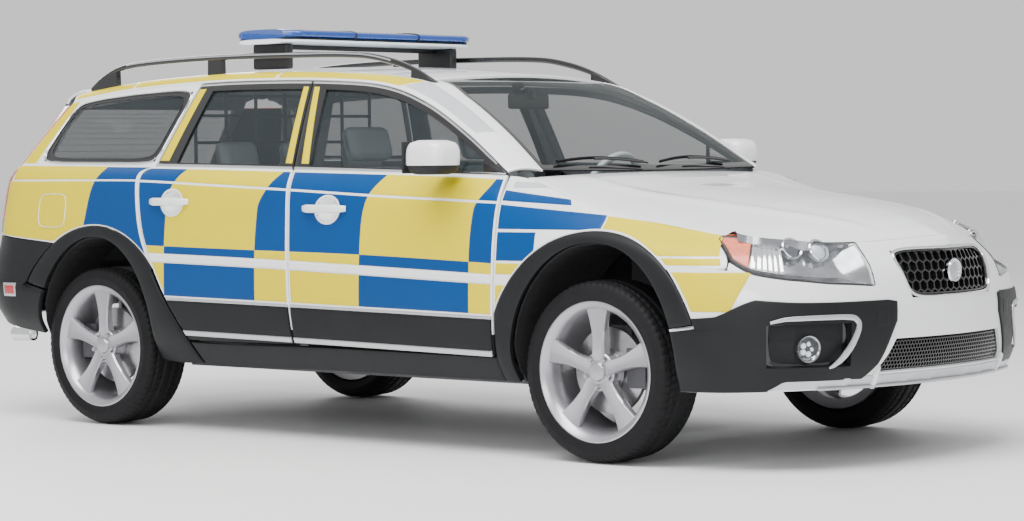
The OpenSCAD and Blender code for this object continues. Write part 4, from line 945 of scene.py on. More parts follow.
def make_tailgate():
    V = ticks((-1, -0.91, 0.03), (-0.91, 0.91, 0.05), (0.91, 1, 0.03))
    K = ticks((0, 4, 0.12), (4, 6, 0.1), (6, 9, 0.1))
    G = grid(V, K)
    a, b = np.searchsorted(V, -0.911), np.searchsorted(V, 0.909)
    j0, j1 = np.searchsorted(K, 3.99), np.searchsorted(K, 5.99)
    zone = np.zeros((len(V) - 1, len(K) - 1), int)
    zone[:, (K[:-1] >= 3.9) & (K[:-1] < 6.2)] = 1
    P = gate(*G)
    dip = 10 * np.exp(-((G[1] - 2.2) / 0.5) ** 2) * np.clip(6 * (0.55 - np.abs(G[0])), 0, 1)
    skin = panel("tailgate_skin", P - normals(P) * dip[..., None], "tailgate", [PAINT, GLOSS_BLACK, TRIM],
                 12, 3,
                 [(a, b, j0, j1)], 30, zone, wall=26)
    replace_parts(skin, "tailgate")
    W = gate(*grid(V[a:b + 1], K[j0:j1 + 1]))
    pane = panel("tailgate_pane", W - normals(W) * 6, "tailgate", [SIDE_GLASS], 5, 0.5, inner=5)
    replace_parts(pane, "tailgate_glass")
    for k in range(9):
        y = np.linspace(-500, 500, 30)
        row = gate(-y / 600, 4.3 + 0.17 * k + 0 * y) - np.array([2, 0, 0])
        sweep(f"heater_line_{k}", row + np.array([6, 0, 0]), ring(1.2, 1.6, 6), "tailgate", BLACK_METAL)
    for name, y0, y1, z, mat in (("tailgate_grip", -330, 330, 995, SILVER),
                                 ("tailgate_lip", -540, 540, 850, CLADDING)):
        y = np.linspace(y0, y1, 40)
        at = np.interp(z, [r[0] for r in TAILGATE], range(10))
        sweep(name, gate(-y / 598, at + 0 * y) - np.array([3, 0, 0]), ring(16, 26, 14), "tailgate", mat)
    plate = brick("rear_number_plate", (-2364, -262, 885), (-2356, 262, 995), 2, "tailgate", LAMP_WHITE)
    sweep("rear_screen_wiper", gate(np.linspace(0.0, 0.62, 20), 4.12 + 0.12 * np.linspace(0, 1, 20))
          - np.array([8, 0, 0]), ring(9, 10, 8), "tailgate", RUBBER)
    return plate


for side, mirror in SIDES:
    make_fender(side, mirror)
    make_quarter(side, mirror)
    make_arch(side, mirror, "front")
    make_arch(side, mirror, "rear")
    make_sill(side, mirror)
    make_rail_panel(side, mirror)
make_roof()
make_windscreen()
make_bonnet()
make_tailgate()
bits = {o.name: o for o in bpy.context.scene.objects}
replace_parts(bits["fender_left"], "front_fenders")
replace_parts(bits["rear_quarter_left"], "rear_quarters")
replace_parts(bits["quarter_pane_left"], "quarter_windows")
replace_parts(bits["front_arch_trim_left"], "arch_trims")
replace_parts(bits["sill_cover_left"], "sills")


# ---- nose ----
LAMP_LOW = Curve([[2006, 4.0], [2060, 3.75], [2100, 3.62], [2200, 3.55], [2300, 3.5], [2400, 3.4],
                  [2500, 3.33], [2620, 3.22]])
NOSE_US = np.array([1998, 2006, 2080, 2160, 2260, 2360, 2460, 2540, 2605, 2620.])
NOSE_TS = np.array([0, 0.42, 0.62, 1.48, 1.72, 1.86, 2.1, 2.65, 3.15])


def lamp_low(u):
    u = np.asarray(u, float)
    return np.where(u < 2002, at_height(u, FENDER_LOW - SEAM), LAMP_LOW(u)[..., 1])


def bumper_start(t):
    z = section(1800.0, t)[..., 0]
    hole = XF + 400 * np.sqrt(np.clip(1 - ((z - ARCH_Z) / 470) ** 2, 0, 1)) + 1
    return np.where(z < 525, hole, XF + np.sqrt(np.clip(TRIM_R**2 - (z - TRIM_Z) ** 2, 0, None)) + 3)


def grille_side(t):
    return np.interp(t, [0.62, 1.5, 2.65, 4.0, 4.58], [2600, 2700, 2790, 2742, 2736])


def nose_point(I, J, g=0):
    """Point of the left half of the nose: I from the wheel arch to the middle, J up."""
    t9 = lamp_low(np.interp(I, np.arange(2, 12), NOSE_US))
    t9 = mix(t9, 3.8, np.clip(I - 10, 0, 1))
    t = np.where(J <= 8, np.interp(J, np.arange(9), NOSE_TS), np.where(
        J <= 9, mix(3.15, t9, J - 8), np.where(J <= 10, mix(t9, 4.58, J - 9), mix(4.58, 5.9, J - 10))))
    start = bumper_start(t)
    u = np.select([I < 2, I < 11, I < 12],
                  [mix(start, NOSE_US[0], I / 2), np.interp(I, np.arange(2, 12), NOSE_US),
                                            mix(NOSE_US[-1], grille_side(t), I - 11)],
                  mix(grille_side(t), U_NOSE, (I - 12) / 4))
    return low(u, t, g)


def full_nose(I, J, g=0):
    """The same over the whole nose: I from 0 on the right to 32 on the left."""
    P = nose_point(np.minimum(I, 32 - I), J, g)
    P[..., 1] *= np.where(I < 16, -1, 1)
    return P


def cut_sheet(name, P, keep, body, mats, depth, mirror=False):
    """A sheet with only the kept cells, and a wall round every edge."""
    P = np.asarray(P, float)
    n, m = P.shape[:2]
    front = quads(n, m, 0, keep)
    back = quads(n, m, n * m, keep)[:, ::-1]
    edges = {(int(f[k]), int(f[(k + 1) % 4])) for f in front for k in range(4)}
    walls = [(b, a, a + n * m, b + n * m) for a, b in sorted(edges) if (b, a) not in edges]
    verts = np.concatenate([P.reshape(-1, 3), (P - normals(P) * depth).reshape(-1, 3)])
    return piece(name, verts, list(front) + list(back) + walls, body, mats, mirror=mirror)


def make_bumper():
    half = ticks((0, 2, 0.25), (2, 5, 0.34), (5, 8, 0.25), (8, 10, 0.2), (10, 12, 0.2), (12, 16, 0.2))
    I = np.concatenate([half, 32 - half[-2::-1]])
    J = ticks((0, 1, 0.34), (1, 2, 0.5), (2, 3, 0.2), (3, 7, 0.2), (7, 9, 0.2), (9, 10, 0.2), (10, 11, 0.2))
    c, r = grid((I[:-1] + I[1:]) / 2, (J[:-1] + J[1:]) / 2)
    c = np.minimum(c, 32 - c)
    lamp = (c < 10) & (r > 9)
    fog = (c > 4) & (c < 9) & (r > 2) & (r < 6)
    grilles = (c > 12) & (((r > 2) & (r < 3)) | ((r > 7) & (r < 10)))
    skin = cut_sheet("front_bumper_skin", full_nose(*grid(I, J)), ~(lamp | fog | grilles), "body", PAINT, 14)
    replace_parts(skin, "front_bumper")


def corner_patch(A, B):
    """Black corner of the bumper, A from the arch forward and B up, with the fog recess inside."""
    u = np.interp(A, [0, 1, 2, 3], [0, 2150, 2480, 2600])
    right = np.interp(B, [0, 1, 2, 3], [2548, 2612, 2700, 2704])
    t = np.interp(B, [0, 1, 2, 3], [0.02, 0.9, 1.88, 2.66])
    for _ in range(3):
        start = bumper_start(t)
        u = np.where(A <= 1, mix(start, 2150, A),
                     np.where(A <= 2, mix(2150, 2480, A - 1), mix(2480, right, A - 2)))
        top = np.interp(u, [1880, 1960, 2000, 2090, 2110, 2660, 2705],
                        [2.04, 2.08, 2.2, 2.58, 2.66, 2.66, 2.56])
        bottom = np.interp(u, [2150, 2215, 2600], [0.02, 0.44, 0.44])
        t = np.where(B <= 1, mix(bottom, 0.9, B),
                     np.where(B <= 2, mix(0.9, np.minimum(1.88, top - 0.06), B - 1),
                                                         mix(np.minimum(1.88, top - 0.06), top, B - 2)))
    return low(u, t)


def make_corner(side, mirror):
    A, B = ticks((0, 1, 0.06), (1, 2, 0.06), (2, 3, 0.1)), ticks((0, 1, 0.12), (1, 2, 0.09), (2, 3, 0.1))
    at = lambda T, v: int(np.searchsorted(T, v - 1e-6))
    P = corner_patch(*grid(A, B))[::-1]
    n = len(A) - 1
    hole = (n - at(A, 2), n - at(A, 1), at(B, 1), at(B, 2))
    P = P + normals(P) * 7
    panel(f"bumper_corner_{side}", P, "body", [CLADDING], 18, 6, [hole], mirror=mirror, wall=42)
    Ap, Bp = grid(np.linspace(0.98, 2.02, 24), np.linspace(0.98, 2.02, 12))
    back = corner_patch(Ap, Bp)[::-1]
    N = normals(back)
    cup = np.clip(1 - ((Ap[::-1] - 1.5) / 0.5) ** 4, 0, 1) * np.clip(1 - ((Bp - 1.5) / 0.5) ** 4, 0, 1)
    panel(f"fog_recess_{side}", back - N * (22 + 20 * cup[..., None]), "body", [GLOSS_BLACK], 4, 1,
          mirror=mirror)
    make_fog(side, mirror)


def nose_frame(u, t, sink=0):
    """Middle, outward, along and up directions at a point of the nose skin."""
    u, t = np.array([u, u + 4.0, u]), np.array([t, t, t + 0.05])
    p = low(u, t, sink)
    a, b = p[1] - p[0], p[2] - p[0]
    a, b = a / np.linalg.norm(a), b / np.linalg.norm(b)
    n = np.cross(b, a)
    n = n / np.linalg.norm(n)
    return p[0], n, a, np.cross(a, n)


def disc_frame(u, t, sink, swing=0.0):
    """Turn that points a lathe's +Y out of the nose, part of the way towards straight ahead."""
    p, n = nose_frame(u, t, sink)[:2]
    n = n * (1 - swing) + np.array([1, 0, 0]) * swing
    n /= np.linalg.norm(n)
    z = np.array([0, 0, 1.0])
    x = np.cross(n, z)
    x /= np.linalg.norm(x)
    return p, np.stack([x, n, np.cross(x, n)], 1)


def make_fog(side, mirror):
    p, turn = disc_frame(2310, 1.34, 30, 0.35)
    lathe(f"fog_reflector_{side}",
          [(1, -12), (18, -10), (32, -2), (40, 8), (44, 14), (49, 16), (51, 10), (50, -2)][::-1],
          p, "body", BOWL, 48, mirror, turn)
    for k in range(5):
        a = 2 * math.pi * k / 5
        q = p + turn @ np.array([20 * math.cos(a), 0, 20 * math.sin(a)])
        lathe(f"fog_cell_{k}_{side}", [(11, -6), (11, 3), (8, 7), (0.2, 8)], q, "body", LAMP_WHITE, 20,
              mirror, turn)
    lathe(f"fog_lens_{side}", [(45, 10), (40, 15), (24, 19), (0.3, 21)], p, "body", LENS, 48, mirror, turn)
    u = np.array([2165, 2220, 2330, 2440, 2490, 2512, 2508, 2480, 2440, 2405, 2388.])
    t = np.array([1.93, 2.03, 2.06, 2.06, 2.03, 1.88, 1.70, 1.40, 1.12, 0.92, 0.86])
    k = np.linspace(0, len(u) - 1, 60)
    uu, tt = np.interp(k, range(len(u)), u), np.interp(k, range(len(u)), t)
    for _ in range(3):
        uu[1:-1] = (uu[:-2] + 2 * uu[1:-1] + uu[2:]) / 4
        tt[1:-1] = (tt[:-2] + 2 * tt[1:-1] + tt[2:]) / 4
    path = low(uu, tt, -9)
    out = low(uu, tt, -20) - path
    wide = np.interp(np.arange(60), [0, 8, 45, 59], [0.5, 0.9, 1.3, 0.35])
    sweep(f"fog_surround_{side}", path, ring(20, 9, 14, 0.7), "body", SILVER, up=out, scale=wide,
          mirror=mirror)
    tow = low(*grid(np.linspace(2655, 2592, 8), np.linspace(1.78, 2.28, 8)))
    panel(f"tow_cover_{side}", tow + normals(tow) * 8, "body", [CLADDING], 4, 2, mirror=mirror)


def make_skid():
    """Silver plate under the nose, with raised ribs."""
    half = np.linspace(2150, U_NOSE, 90)
    u = np.concatenate([half, half[-2::-1]])
    s = np.concatenate([-np.ones(90), np.ones(89)])
    T = np.array([0.0, 0.1, 0.2, 0.3, 0.4, 0.5])
    U, TT = grid(u, T)
    top = np.interp(U, [2150, 2200, 2700, 3060], [0.06, 0.46, 0.50, 0.50])
    P = low(U, mix(0.0, top, T[None] / 0.5), -9)
    P[..., 1] *= s[:, None]
    P[..., 2] += 4
    w = P[..., 1]
    rib = sum(np.exp(-((np.abs(w) - c) / 16) ** 2) for c in (120, 265, 410, 560))
    P = P + normals(P) * (5 * rib * np.sin(np.pi * T[None] / 0.5))[..., None]
    plate = panel("skid_plate_skin", P, "body", [SILVER], 14, 4)
    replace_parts(plate, "skid_plate")
    lip = low(half[20:], 0.0 * half[20:], -12)
    lip = np.concatenate([lip * [1, -1, 1], lip[-2::-1]])
    sweep("skid_plate_lip", lip + np.array([0, 0, 3]), ring(16, 12, 12, 0.8), "body", SILVER)


def nose_at(w, z, g=0):
    """Point of the nose skin w to the left of the middle at height z."""
    u = U_NOSE - np.abs(w)
    P = low(u, at_height(u, z), g)
    P[..., 1] *= np.where(w < 0, -1, 1)
    return P


def honeycomb(name, outline, cell, rib, sink, deep, body="body"):
    """Hexagonal mesh inside an outline (half width at height, low, high), sunk behind the nose skin."""
    half, z0, z1 = outline
    dx, dz = cell * math.sqrt(3), cell * 1.5
    V, F = [], []
    ang = np.radians(30 + 60 * np.arange(6))
    for r in range(-1, int((z1 - z0) / dz) + 2):
        for c in range(-int(600 / dx), int(600 / dx) + 1):
            w, z = c * dx + (r % 2) * dx / 2, z0 + r * dz
            if abs(w) > half(z) + cell or z < z0 - cell or z > z1 + cell:
                continue
            rings = []
            for size, s in ((cell, sink), (cell - rib, sink), (cell - rib, sink + deep)):
                zz = np.clip(z + size * np.sin(ang), z0, z1)
                ww = np.clip(w + size * np.cos(ang), -half(zz), half(zz))
                rings.append(nose_at(ww, zz, s))
            k = len(V)
            V += [p for q in rings for p in q]
            for a, b in ((0, 6), (6, 12)):
                F += [(k + a + i, k + a + (i + 1) % 6, k + b + (i + 1) % 6, k + b + i) for i in range(6)]
    return piece(name, V, F, body, GLOSS_BLACK, sharp=20)


def frame_path(half, z0, z1, sink, n=80, power=0.3):
    a = np.linspace(0, 2 * math.pi, n + 1)[:-1]
    f = lambda v: np.sign(v) * np.abs(v) ** power
    z = mix(z0, z1, 0.5 + 0.5 * f(np.sin(a)))
    return nose_at(half(z) * f(np.cos(a)), z, sink)


def make_grilles():
    zt = lambda u, t: float(section(u, t)[..., 0])
    top = (lambda z: U_NOSE - grille_side(at_height(2860.0, z)), zt(2950.0, 2.68), zt(2950.0, 4.5))
    mesh = honeycomb("upper_grille_mesh", top, 24, 3.4, 12, 22)
    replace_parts(mesh, "upper_grille")
    W, Z = grid(np.linspace(-1, 1, 30), np.linspace(top[1] - 5, top[2] + 5, 10))
    panel("upper_grille_back", nose_at(-W * (top[0](Z) + 4), Z, 36), "body", [LINER], 5, 1)
    for name, sink, grow, shape, mat in (("upper_grille_frame", 1, 4, ring(12, 16, 12, 0.8), CHROME),
                                         ("upper_grille_lip", 8, -6, ring(9, 10, 10, 0.8), GLOSS_BLACK)):
        path = frame_path(lambda z: top[0](z) + grow, top[1] - grow, top[2] + grow, sink)
        out = frame_path(lambda z: top[0](z) + grow, top[1] - grow, top[2] + grow, sink - 10) - path
        sweep(name, path, shape, "body", mat, up=out, closed=True)
    bottom = (lambda z: np.interp(z, [360, 500], [430.0, 330.0]) + 0 * z, zt(2900.0, 0.66), zt(2900.0, 1.44))
    mesh = honeycomb("lower_grille_mesh", bottom, 9.5, 2.2, 12, 14)
    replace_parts(mesh, "lower_grille")
    W, Z = grid(np.linspace(-1, 1, 30), np.linspace(bottom[1] - 5, bottom[2] + 5, 8))
    panel("lower_grille_back", nose_at(-W * (bottom[0](Z) + 6), Z, 30), "body", [LINER], 5, 1)
    p = nose_at(np.array(0.0), np.array((top[1] + top[2]) / 2), 4)
    face = turned(-90, "Z")
    lathe("grille_badge_ring", [(44, -8), (46, 2), (42, 8), (36, 7), (35, -2)], p, "body", CHROME, 64,
          turn=face)
    lathe("grille_badge_disc", [(36, -6), (36, 1), (20, 3), (0.2, 4)], p, "body", SILVER, 64, turn=face)


# ---- lamps ----
def lamp_patch(A, B, sink=0):
    """Headlamp face: A from the nose back to the tip, B up."""
    u = mix(2610, 1924, A)
    lo = np.where(u < 2010, mix(4.93, 4.06, np.clip((u - 1924) / 86, 0, 1)),
                  lamp_low(np.maximum(u, 2003)) + 0.05)
    hi = np.interp(u, [1924, 1960, 2500, 2585, 2610], [5.05, 5.9, 5.94, 5.85, 5.3])
    return low(u, mix(lo, hi, B), sink)


def make_headlamp(side, mirror):
    A, B = grid(np.linspace(0, 1, 70), np.linspace(0, 1, 22))
    lens = panel(f"headlamp_lens_{side}", lamp_patch(A, B, -1), "body", [LENS], 9, 4, mirror=mirror)
    if not mirror:
        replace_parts(lens, "headlamps")
    rim = np.clip(6 * np.minimum(np.minimum(B, 1 - B), np.minimum(A, 1 - A)), 0, 1)
    bowl = lamp_patch(A, B, 9)
    panel(f"headlamp_bowl_{side}", bowl - normals(bowl) * (38 * rim)[..., None], "body", [BOWL], 3, 1,
          mirror=mirror)
    seal = lamp_patch(np.concatenate([np.linspace(0.0, 1, 60), np.ones(4), np.linspace(1, 0, 60),
                                      np.zeros(4)]),
                      np.concatenate([np.zeros(60), np.linspace(0.2, 0.8, 4), np.ones(60),
                                      np.linspace(0.8, 0.2, 4)]), 1)
    sweep(f"headlamp_seal_{side}", seal, ring(7, 5, 8), "body", GLOSS_BLACK, up=(0, 1, 0), closed=True,
          mirror=mirror)
    for name, u, t, sink, r in (("projector", 2290, 4.75, 26, 40), ("high_beam", 2435, 4.7, 28, 42)):
        p, turn = disc_frame(u, t, sink, 0.45)
        lathe(f"{name}_ring_{side}",
              [(r * 0.7, -16), (r, -10), (r + 4, 8), (r + 1, 12), (r - 5, 9), (r - 7, -4),
                                      (r * 0.62, -10)], p, "body", CHROME, 48, mirror, turn)
        lathe(f"{name}_eye_{side}", [(r - 8, -8), (r - 9, 2), (r * 0.6, 9), (r * 0.3, 13), (0.2, 14)], p,
              "body",
              WHITE_LENS if name == "high_beam" else DISPLAY, 48, mirror, turn)
    A2, B2 = grid(np.linspace(0.77, 0.985, 24), np.linspace(0.1, 0.9, 14))
    side_lamp = lamp_patch(A2, B2, 6)
    panel(f"side_indicator_{side}", side_lamp, "body", [ORANGE], 8, 3, mirror=mirror)
    A3, B3 = grid(np.linspace(0.05, 0.76, 40), np.linspace(0.90, 0.97, 4))
    panel(f"headlamp_brow_{side}", lamp_patch(A3, B3, 8), "body", [DARK_TRIM], 6, 1.5, mirror=mirror)
    A4, B4 = grid(np.linspace(0.55, 0.76, 24), np.linspace(0.10, 0.62, 10))
    cell = lamp_patch(A4, B4, 14)
    flute = 4 * np.abs(np.sin(A4 * 90))
    panel(f"headlamp_flutes_{side}", cell - normals(cell) * flute[..., None], "body", [CHROME], 5, 1.5,
          mirror=mirror)


def tail_point(K, S):
    """Tail lamp: K the row of the tailgate table, S from the quarter to the tailgate."""
    r = GATE_ROWS(K)
    z = r[..., 1]
    t = at_height(-2110.0 + 0 * z, np.minimum(z, 1146))
    lower = low(d_cut(np.maximum(t, 3)) - 8, t)
    share = np.clip((z - 1150) / (1437 - 1150), 0, 1)
    b, e = low(d_cut(BELT + 0 * z), BELT), EAVE(eave_at(D_TOP + 0 * z))[..., 1:]
    upper = mix(b, e, share[..., None]) - np.array([8, 0, 0])
    upper[..., 1] += 22 * share * (1 - share)
    blend = np.clip((z - 1120) / 40, 0, 1)[..., None]
    d = mix(lower, upper, blend)
    e = stack(r[..., 4], r[..., 2] + SEAM, z)
    bulge = mix(36, 10, np.clip(K - 3, 0, 1))
    p = mix(d, e, S[..., None])
    arc = 4 * S * (1 - S) * bulge * 0.7
    return p + stack(-arc, arc, 0)


def make_tail_lamp(side, mirror):
    K, S = grid(ticks((0.0, 6, 0.1)), np.linspace(0, 1, 18))
    P = tail_point(K, S).swapaxes(0, 1)
    zone = (K[:-1, :-1] > 3.3).astype(int).T + 2 * (K[:-1, :-1] < 0.9).astype(int).T
    lamp = panel(f"tail_lamp_{side}", P, "body", [RED, PINK, BOWL, DARK_TRIM], 10, 4, inner=12,
                 zone=zone, mirror=mirror)
    if not mirror:
        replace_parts(lamp, "tail_lamps")
    for k, at in enumerate((0.95, 2.1, 3.3)):
        s = np.linspace(0.04, 0.96, 20)
        sweep(f"tail_lamp_rib_{k}_{side}", tail_point(at + 0 * s, s) + np.array([0, 0.5, 0]), ring(4, 7, 8),
              "body",
              PINK, mirror=mirror)


def rear_low(u):
    arc = TRIM_Z + np.sqrt(np.clip(TRIM_R**2 - (u - XR) ** 2, 0, None))
    return np.where(u > -1701, arc, mix(801, 832, np.clip((-1701 - u) / 400, 0, 1)))


def rear_bumper_point(I, J):
    """Left half of the rear bumper: I from the arch to the middle, J up."""
    us = np.array([-1900, -2010, -2120, -2220, -2320, -2430, -2560, -2720, -2900, U_TAIL])
    u = np.interp(I, np.arange(1, 11), us)
    top = at_height(np.where(I < 1, mix(-1715, -1900, I), u),
                    rear_low(np.where(I < 1, mix(-1715, -1900, I), u)) - 4)
    t = J * top
    z = section(-1760.0, t)[..., 0]
    start = np.where(z < 600, XR - 378 * np.sqrt(np.clip(1 - ((z - ARCH_Z) / 465) ** 2, 0, 1)) - 5.6,
                     XR - np.sqrt(np.clip(TRIM_R**2 - (z - TRIM_Z) ** 2, 0, None)) - 4.6)
    u = np.where(I < 1, mix(start, -1900, I), u)
    step = 10 * np.clip((0.60 - J) * 18, 0, 1)
    return low(u, t, -step)


def make_rear_bumper():
    half = ticks((0, 1, 0.12), (1, 10, 0.2))
    I = np.concatenate([half, 20 - half[-2::-1]])
    G = grid(I, np.linspace(0, 1, 34))
    P = rear_bumper_point(np.minimum(G[0], 20 - G[0]), G[1])
    P[..., 1] *= np.where(G[0] > 10, -1, 1)
    skin = panel("rear_bumper_skin", P, "body", [CLADDING], 20, 4)
    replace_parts(skin, "rear_bumper")
    skid = rear_bumper_point(*grid(np.linspace(5, 10, 30), np.linspace(0.02, 0.17, 6)))
    whole = np.concatenate([skid, (skid * [1, -1, 1])[-2::-1]])
    panel("rear_skid_plate", whole + normals(whole) * 8, "body", [SILVER], 10, 4)
    for side, mirror in SIDES:
        x, z = grid(np.linspace(-1945, -2035, 10), np.linspace(556, 618, 6))
        P = on_side(x, z, -11)
        panel(f"rear_reflector_frame_{side}", P, "body", [SILVER], 6, 3, mirror=mirror)
        x, z = grid(np.linspace(-1958, -2022, 8), np.linspace(568, 606, 5))
        panel(f"rear_reflector_{side}", on_side(x, z, -14), "body", [RED], 4, 2, mirror=mirror)


make_bumper()
make_skid()
make_grilles()
make_rear_bumper()
for side, mirror in SIDES:
    make_corner(side, mirror)
    make_headlamp(side, mirror)
    make_tail_lamp(side, mirror)


# ---- wheels ----
def make_tyre(name, at, body, mirror):
    """Tyre with four grooves and slanted sipes."""
    a, s = grid(np.linspace(0, 2 * math.pi, 361)[:-1], np.linspace(-1, 1, 41))
    stops = [-1, -0.9, -0.75, -0.62, -0.5, 0, 0.5, 0.62, 0.75, 0.9, 1]
    y = np.interp(s, [-1, -0.9, -0.75, -0.62, 0.62, 0.75, 0.9, 1],
                  [-90, -108, -117, -106, 106, 117, 108, 90])
    r = np.interp(s, stops, [262, 270, 300, 333, 343, 347.5, 343, 333, 300, 270, 262])
    groove = np.any([np.abs(s - c) < 0.026 for c in (-0.4, -0.15, 0.15, 0.4)], 0)
    sipe = np.floor(a * 360 / (2 * math.pi) + 12 * np.abs(s)) % 5 < 1
    sipe = sipe & (np.abs(s) > 0.18) & (np.abs(s) < 0.66)
    r = r - np.where(groove, 7, 0) - np.where(sipe, 4, 0)
    P = stack(r * np.cos(a), y, r * np.sin(a)) + np.array(at)
    i, j = grid(np.arange(360), np.arange(40))
    k, q = i * 41 + j, (i + 1) % 360 * 41 + j
    return piece(name, P, np.stack([k, k + 1, q + 1, q], -1).reshape(-1, 4), body, RUBBER, mirror=mirror)


def make_spoke(name, angle, at, body, mirror):
    """One wide flat spoke, narrow half way and wide at the rim."""
    r = np.linspace(44, 244, 18)
    half = np.interp(r, [44, 75, 120, 160, 205, 244], [31, 28, 27, 32, 42, 54])
    face = np.interp(r, [44, 80, 150, 215, 244], [84, 86, 86, 88, 90])
    deep = np.interp(r, [44, 150, 244], [44, 30, 22])
    V = np.array([[q, y + dy, x] for q, h, y, d in zip(r, half, face, deep) for x, dy in
                  ((-h, -d), (-h, -7), (-h + 5, 0), (-h + 11, -2), (h - 11, -2), (h - 5, 0), (h, -7),
                   (h, -d))])
    F = [(i * 8 + j, i * 8 + (j + 1) % 8, (i + 1) * 8 + (j + 1) % 8, (i + 1) * 8 + j)
         for i in range(len(r) - 1) for j in range(8)]
    F += [tuple(range(8))[::-1], tuple((len(r) - 1) * 8 + j for j in range(8))]
    V = V @ turned(-angle, "Y").T + np.array(at)
    return piece(name, V, F, body, ALLOY, mirror=mirror)


def make_wheel(place, x, y, mirror):
    """place is front_left and so on; the wheel stands on its own turning body."""
    end, side = place.split("_")
    body, at = f"{end}_wheel_{side}", (x, y, TYRE_R)
    tyre = make_tyre(f"tyre_skin_{place}", at, body, mirror)
    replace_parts(tyre, f"tyre_{place}")
    rim = lathe(f"rim_{place}", [(218, -96), (238, -100), (258, -106), (262, -100), (246, -88), (236, -60),
                                 (226, -20),
                                 (230, 40), (240, 84), (256, 96), (266, 102), (268, 107), (262, 109), (250,
                                                                                                       100),
                                 (238, 88), (228, 60), (219, 30), (216, -20), (214, -80), (218, -96)],
                at, body, ALLOY, 96, mirror)
    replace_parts(rim, f"wheel_{place}")
    for k in range(5):
        make_spoke(f"spoke_{k}_{place}", 90 + 72 * k, at, body, mirror)
        a = math.radians(90 + 36 + 72 * k)
        nut = np.array(at) + (57 * math.cos(a), 0, 57 * math.sin(a))
        lathe(f"nut_{k}_{place}", [(11, 60), (11, 90), (9, 96), (0.3, 97)], nut, body, STEEL, 6, mirror)
    lathe(f"hub_{place}", [(0.3, 20), (70, 22), (74, 30), (74, 76), (70, 80), (38, 82), (36, 88), (31, 94),
                           (0.3, 96)],
          at, body, ALLOY, 64, mirror)
    lathe(f"brake_disc_{place}",
          [(60, -12), (164, -10), (165, -7), (165, 12), (162, 14), (84, 14), (80, 26), (60, 28)],
          at, body, STEEL, 72, mirror)


for place, x, y, mirror in (("front_left", XF, 802, False), ("front_right", XF, 802, True),
                            ("rear_left", XR, 795, False), ("rear_right", XR, 795, True)):
    make_wheel(place, x, y, mirror)


# ---- light bar and rails ----
BAR_X, BAR_LEN, BAR_DEEP = -690, 1200, 400


def bar_ring(y, z0, z1, grow=0, n=40):
    """Outline of the light bar seen from the side, at a place along its length."""
    a = np.arange(n) * 2 * math.pi / n
    f = lambda v, p: np.sign(v) * np.abs(v) ** p
    end = np.clip((BAR_LEN / 2 - np.abs(y)) / 70, 0, 1) ** 0.5
    deep = (BAR_DEEP / 2 - 6 + grow) * mix(0.62, 1, end)
    return stack(BAR_X + deep * f(np.cos(a), 0.5), y + 0 * a,
                 mix(z0, z1, 0.5 + 0.5 * f(np.sin(a), 0.6)))


def bar_slice(name, y0, y1, z0, z1, mat, grow=0, n=14):
    ys = np.linspace(y0, y1, n)
    V = np.stack([bar_ring(y, z0, z1, grow) for y in ys])
    k = V.shape[1]
    F = [(i * k + j, (i + 1) * k + j, (i + 1) * k + (j + 1) % k, i * k + (j + 1) % k)
         for i in range(n - 1) for j in range(k)]
    F += [tuple(range(k)), tuple((n - 1) * k + j for j in range(k))[::-1]]
    return piece(name, V, F, "body", mat)


def make_light_bar():
    end = BAR_LEN / 2 - 3
    base = bar_slice("lightbar_base", -end, end, 1660, 1680, LAMP_WHITE, -3, 30)
    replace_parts(base, "lightbar_case")
    bar_slice("lightbar_deck", -end + 10, end - 10, 1678, 1686, BLACK_METAL, -14, 30)
    for k, (y0, y1) in enumerate(((-end, -206), (206, end))):
        bar_slice(f"blue_lens_{k}", y0, y1, 1680, 1722, BLUE_LENS, 0, 24)
    bar_slice("clear_lens", -202, 202, 1680, 1720, BLUE_LENS, -2, 12)
    for k, y in enumerate((-204, 204)):
        bar_slice(f"lens_joint_{k}", y - 4, y + 4, 1676, 1724, BLACK_METAL, 1, 3)
    for k, y in enumerate(np.linspace(-520, 520, 11)):
        for way, x in (("front", BAR_X + 140), ("rear", BAR_X - 140)):
            brick(f"flash_cell_{way}_{k}", (x - 16, y - 40, 1686), (x + 16, y + 40, 1712), 4, "body",
                  BLUE_CELLS)
    for side, mirror in SIDES:
        brick(f"bar_foot_{side}", (-790, 508, 1552), (-580, 552, 1662), 10, "body", BLACK_METAL, mirror)
    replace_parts(brick("bar_beam", (-704, -520, 1640), (-676, 520, 1662), 6, "body", BLACK_METAL),
                "lightbar_feet")


RAIL_TOP = Curve([[-1790, 1500], [-1720, 1545], [-1600, 1590], [-1430, 1610], [-1000, 1622], [-500, 1619],
                  [-100, 1606], [80, 1574], [210, 1532], [330, 1476]])


def roof_under(x):
    """Point of the roof's rounded edge below the rail."""
    edge = rail_point(np.linspace(2.9, 8.2, 200), 0.76)
    edge = edge[np.argsort(edge[:, 0])]
    return stack(x, np.interp(x, edge[:, 0], edge[:, 1]), np.interp(x, edge[:, 0], edge[:, 2]))


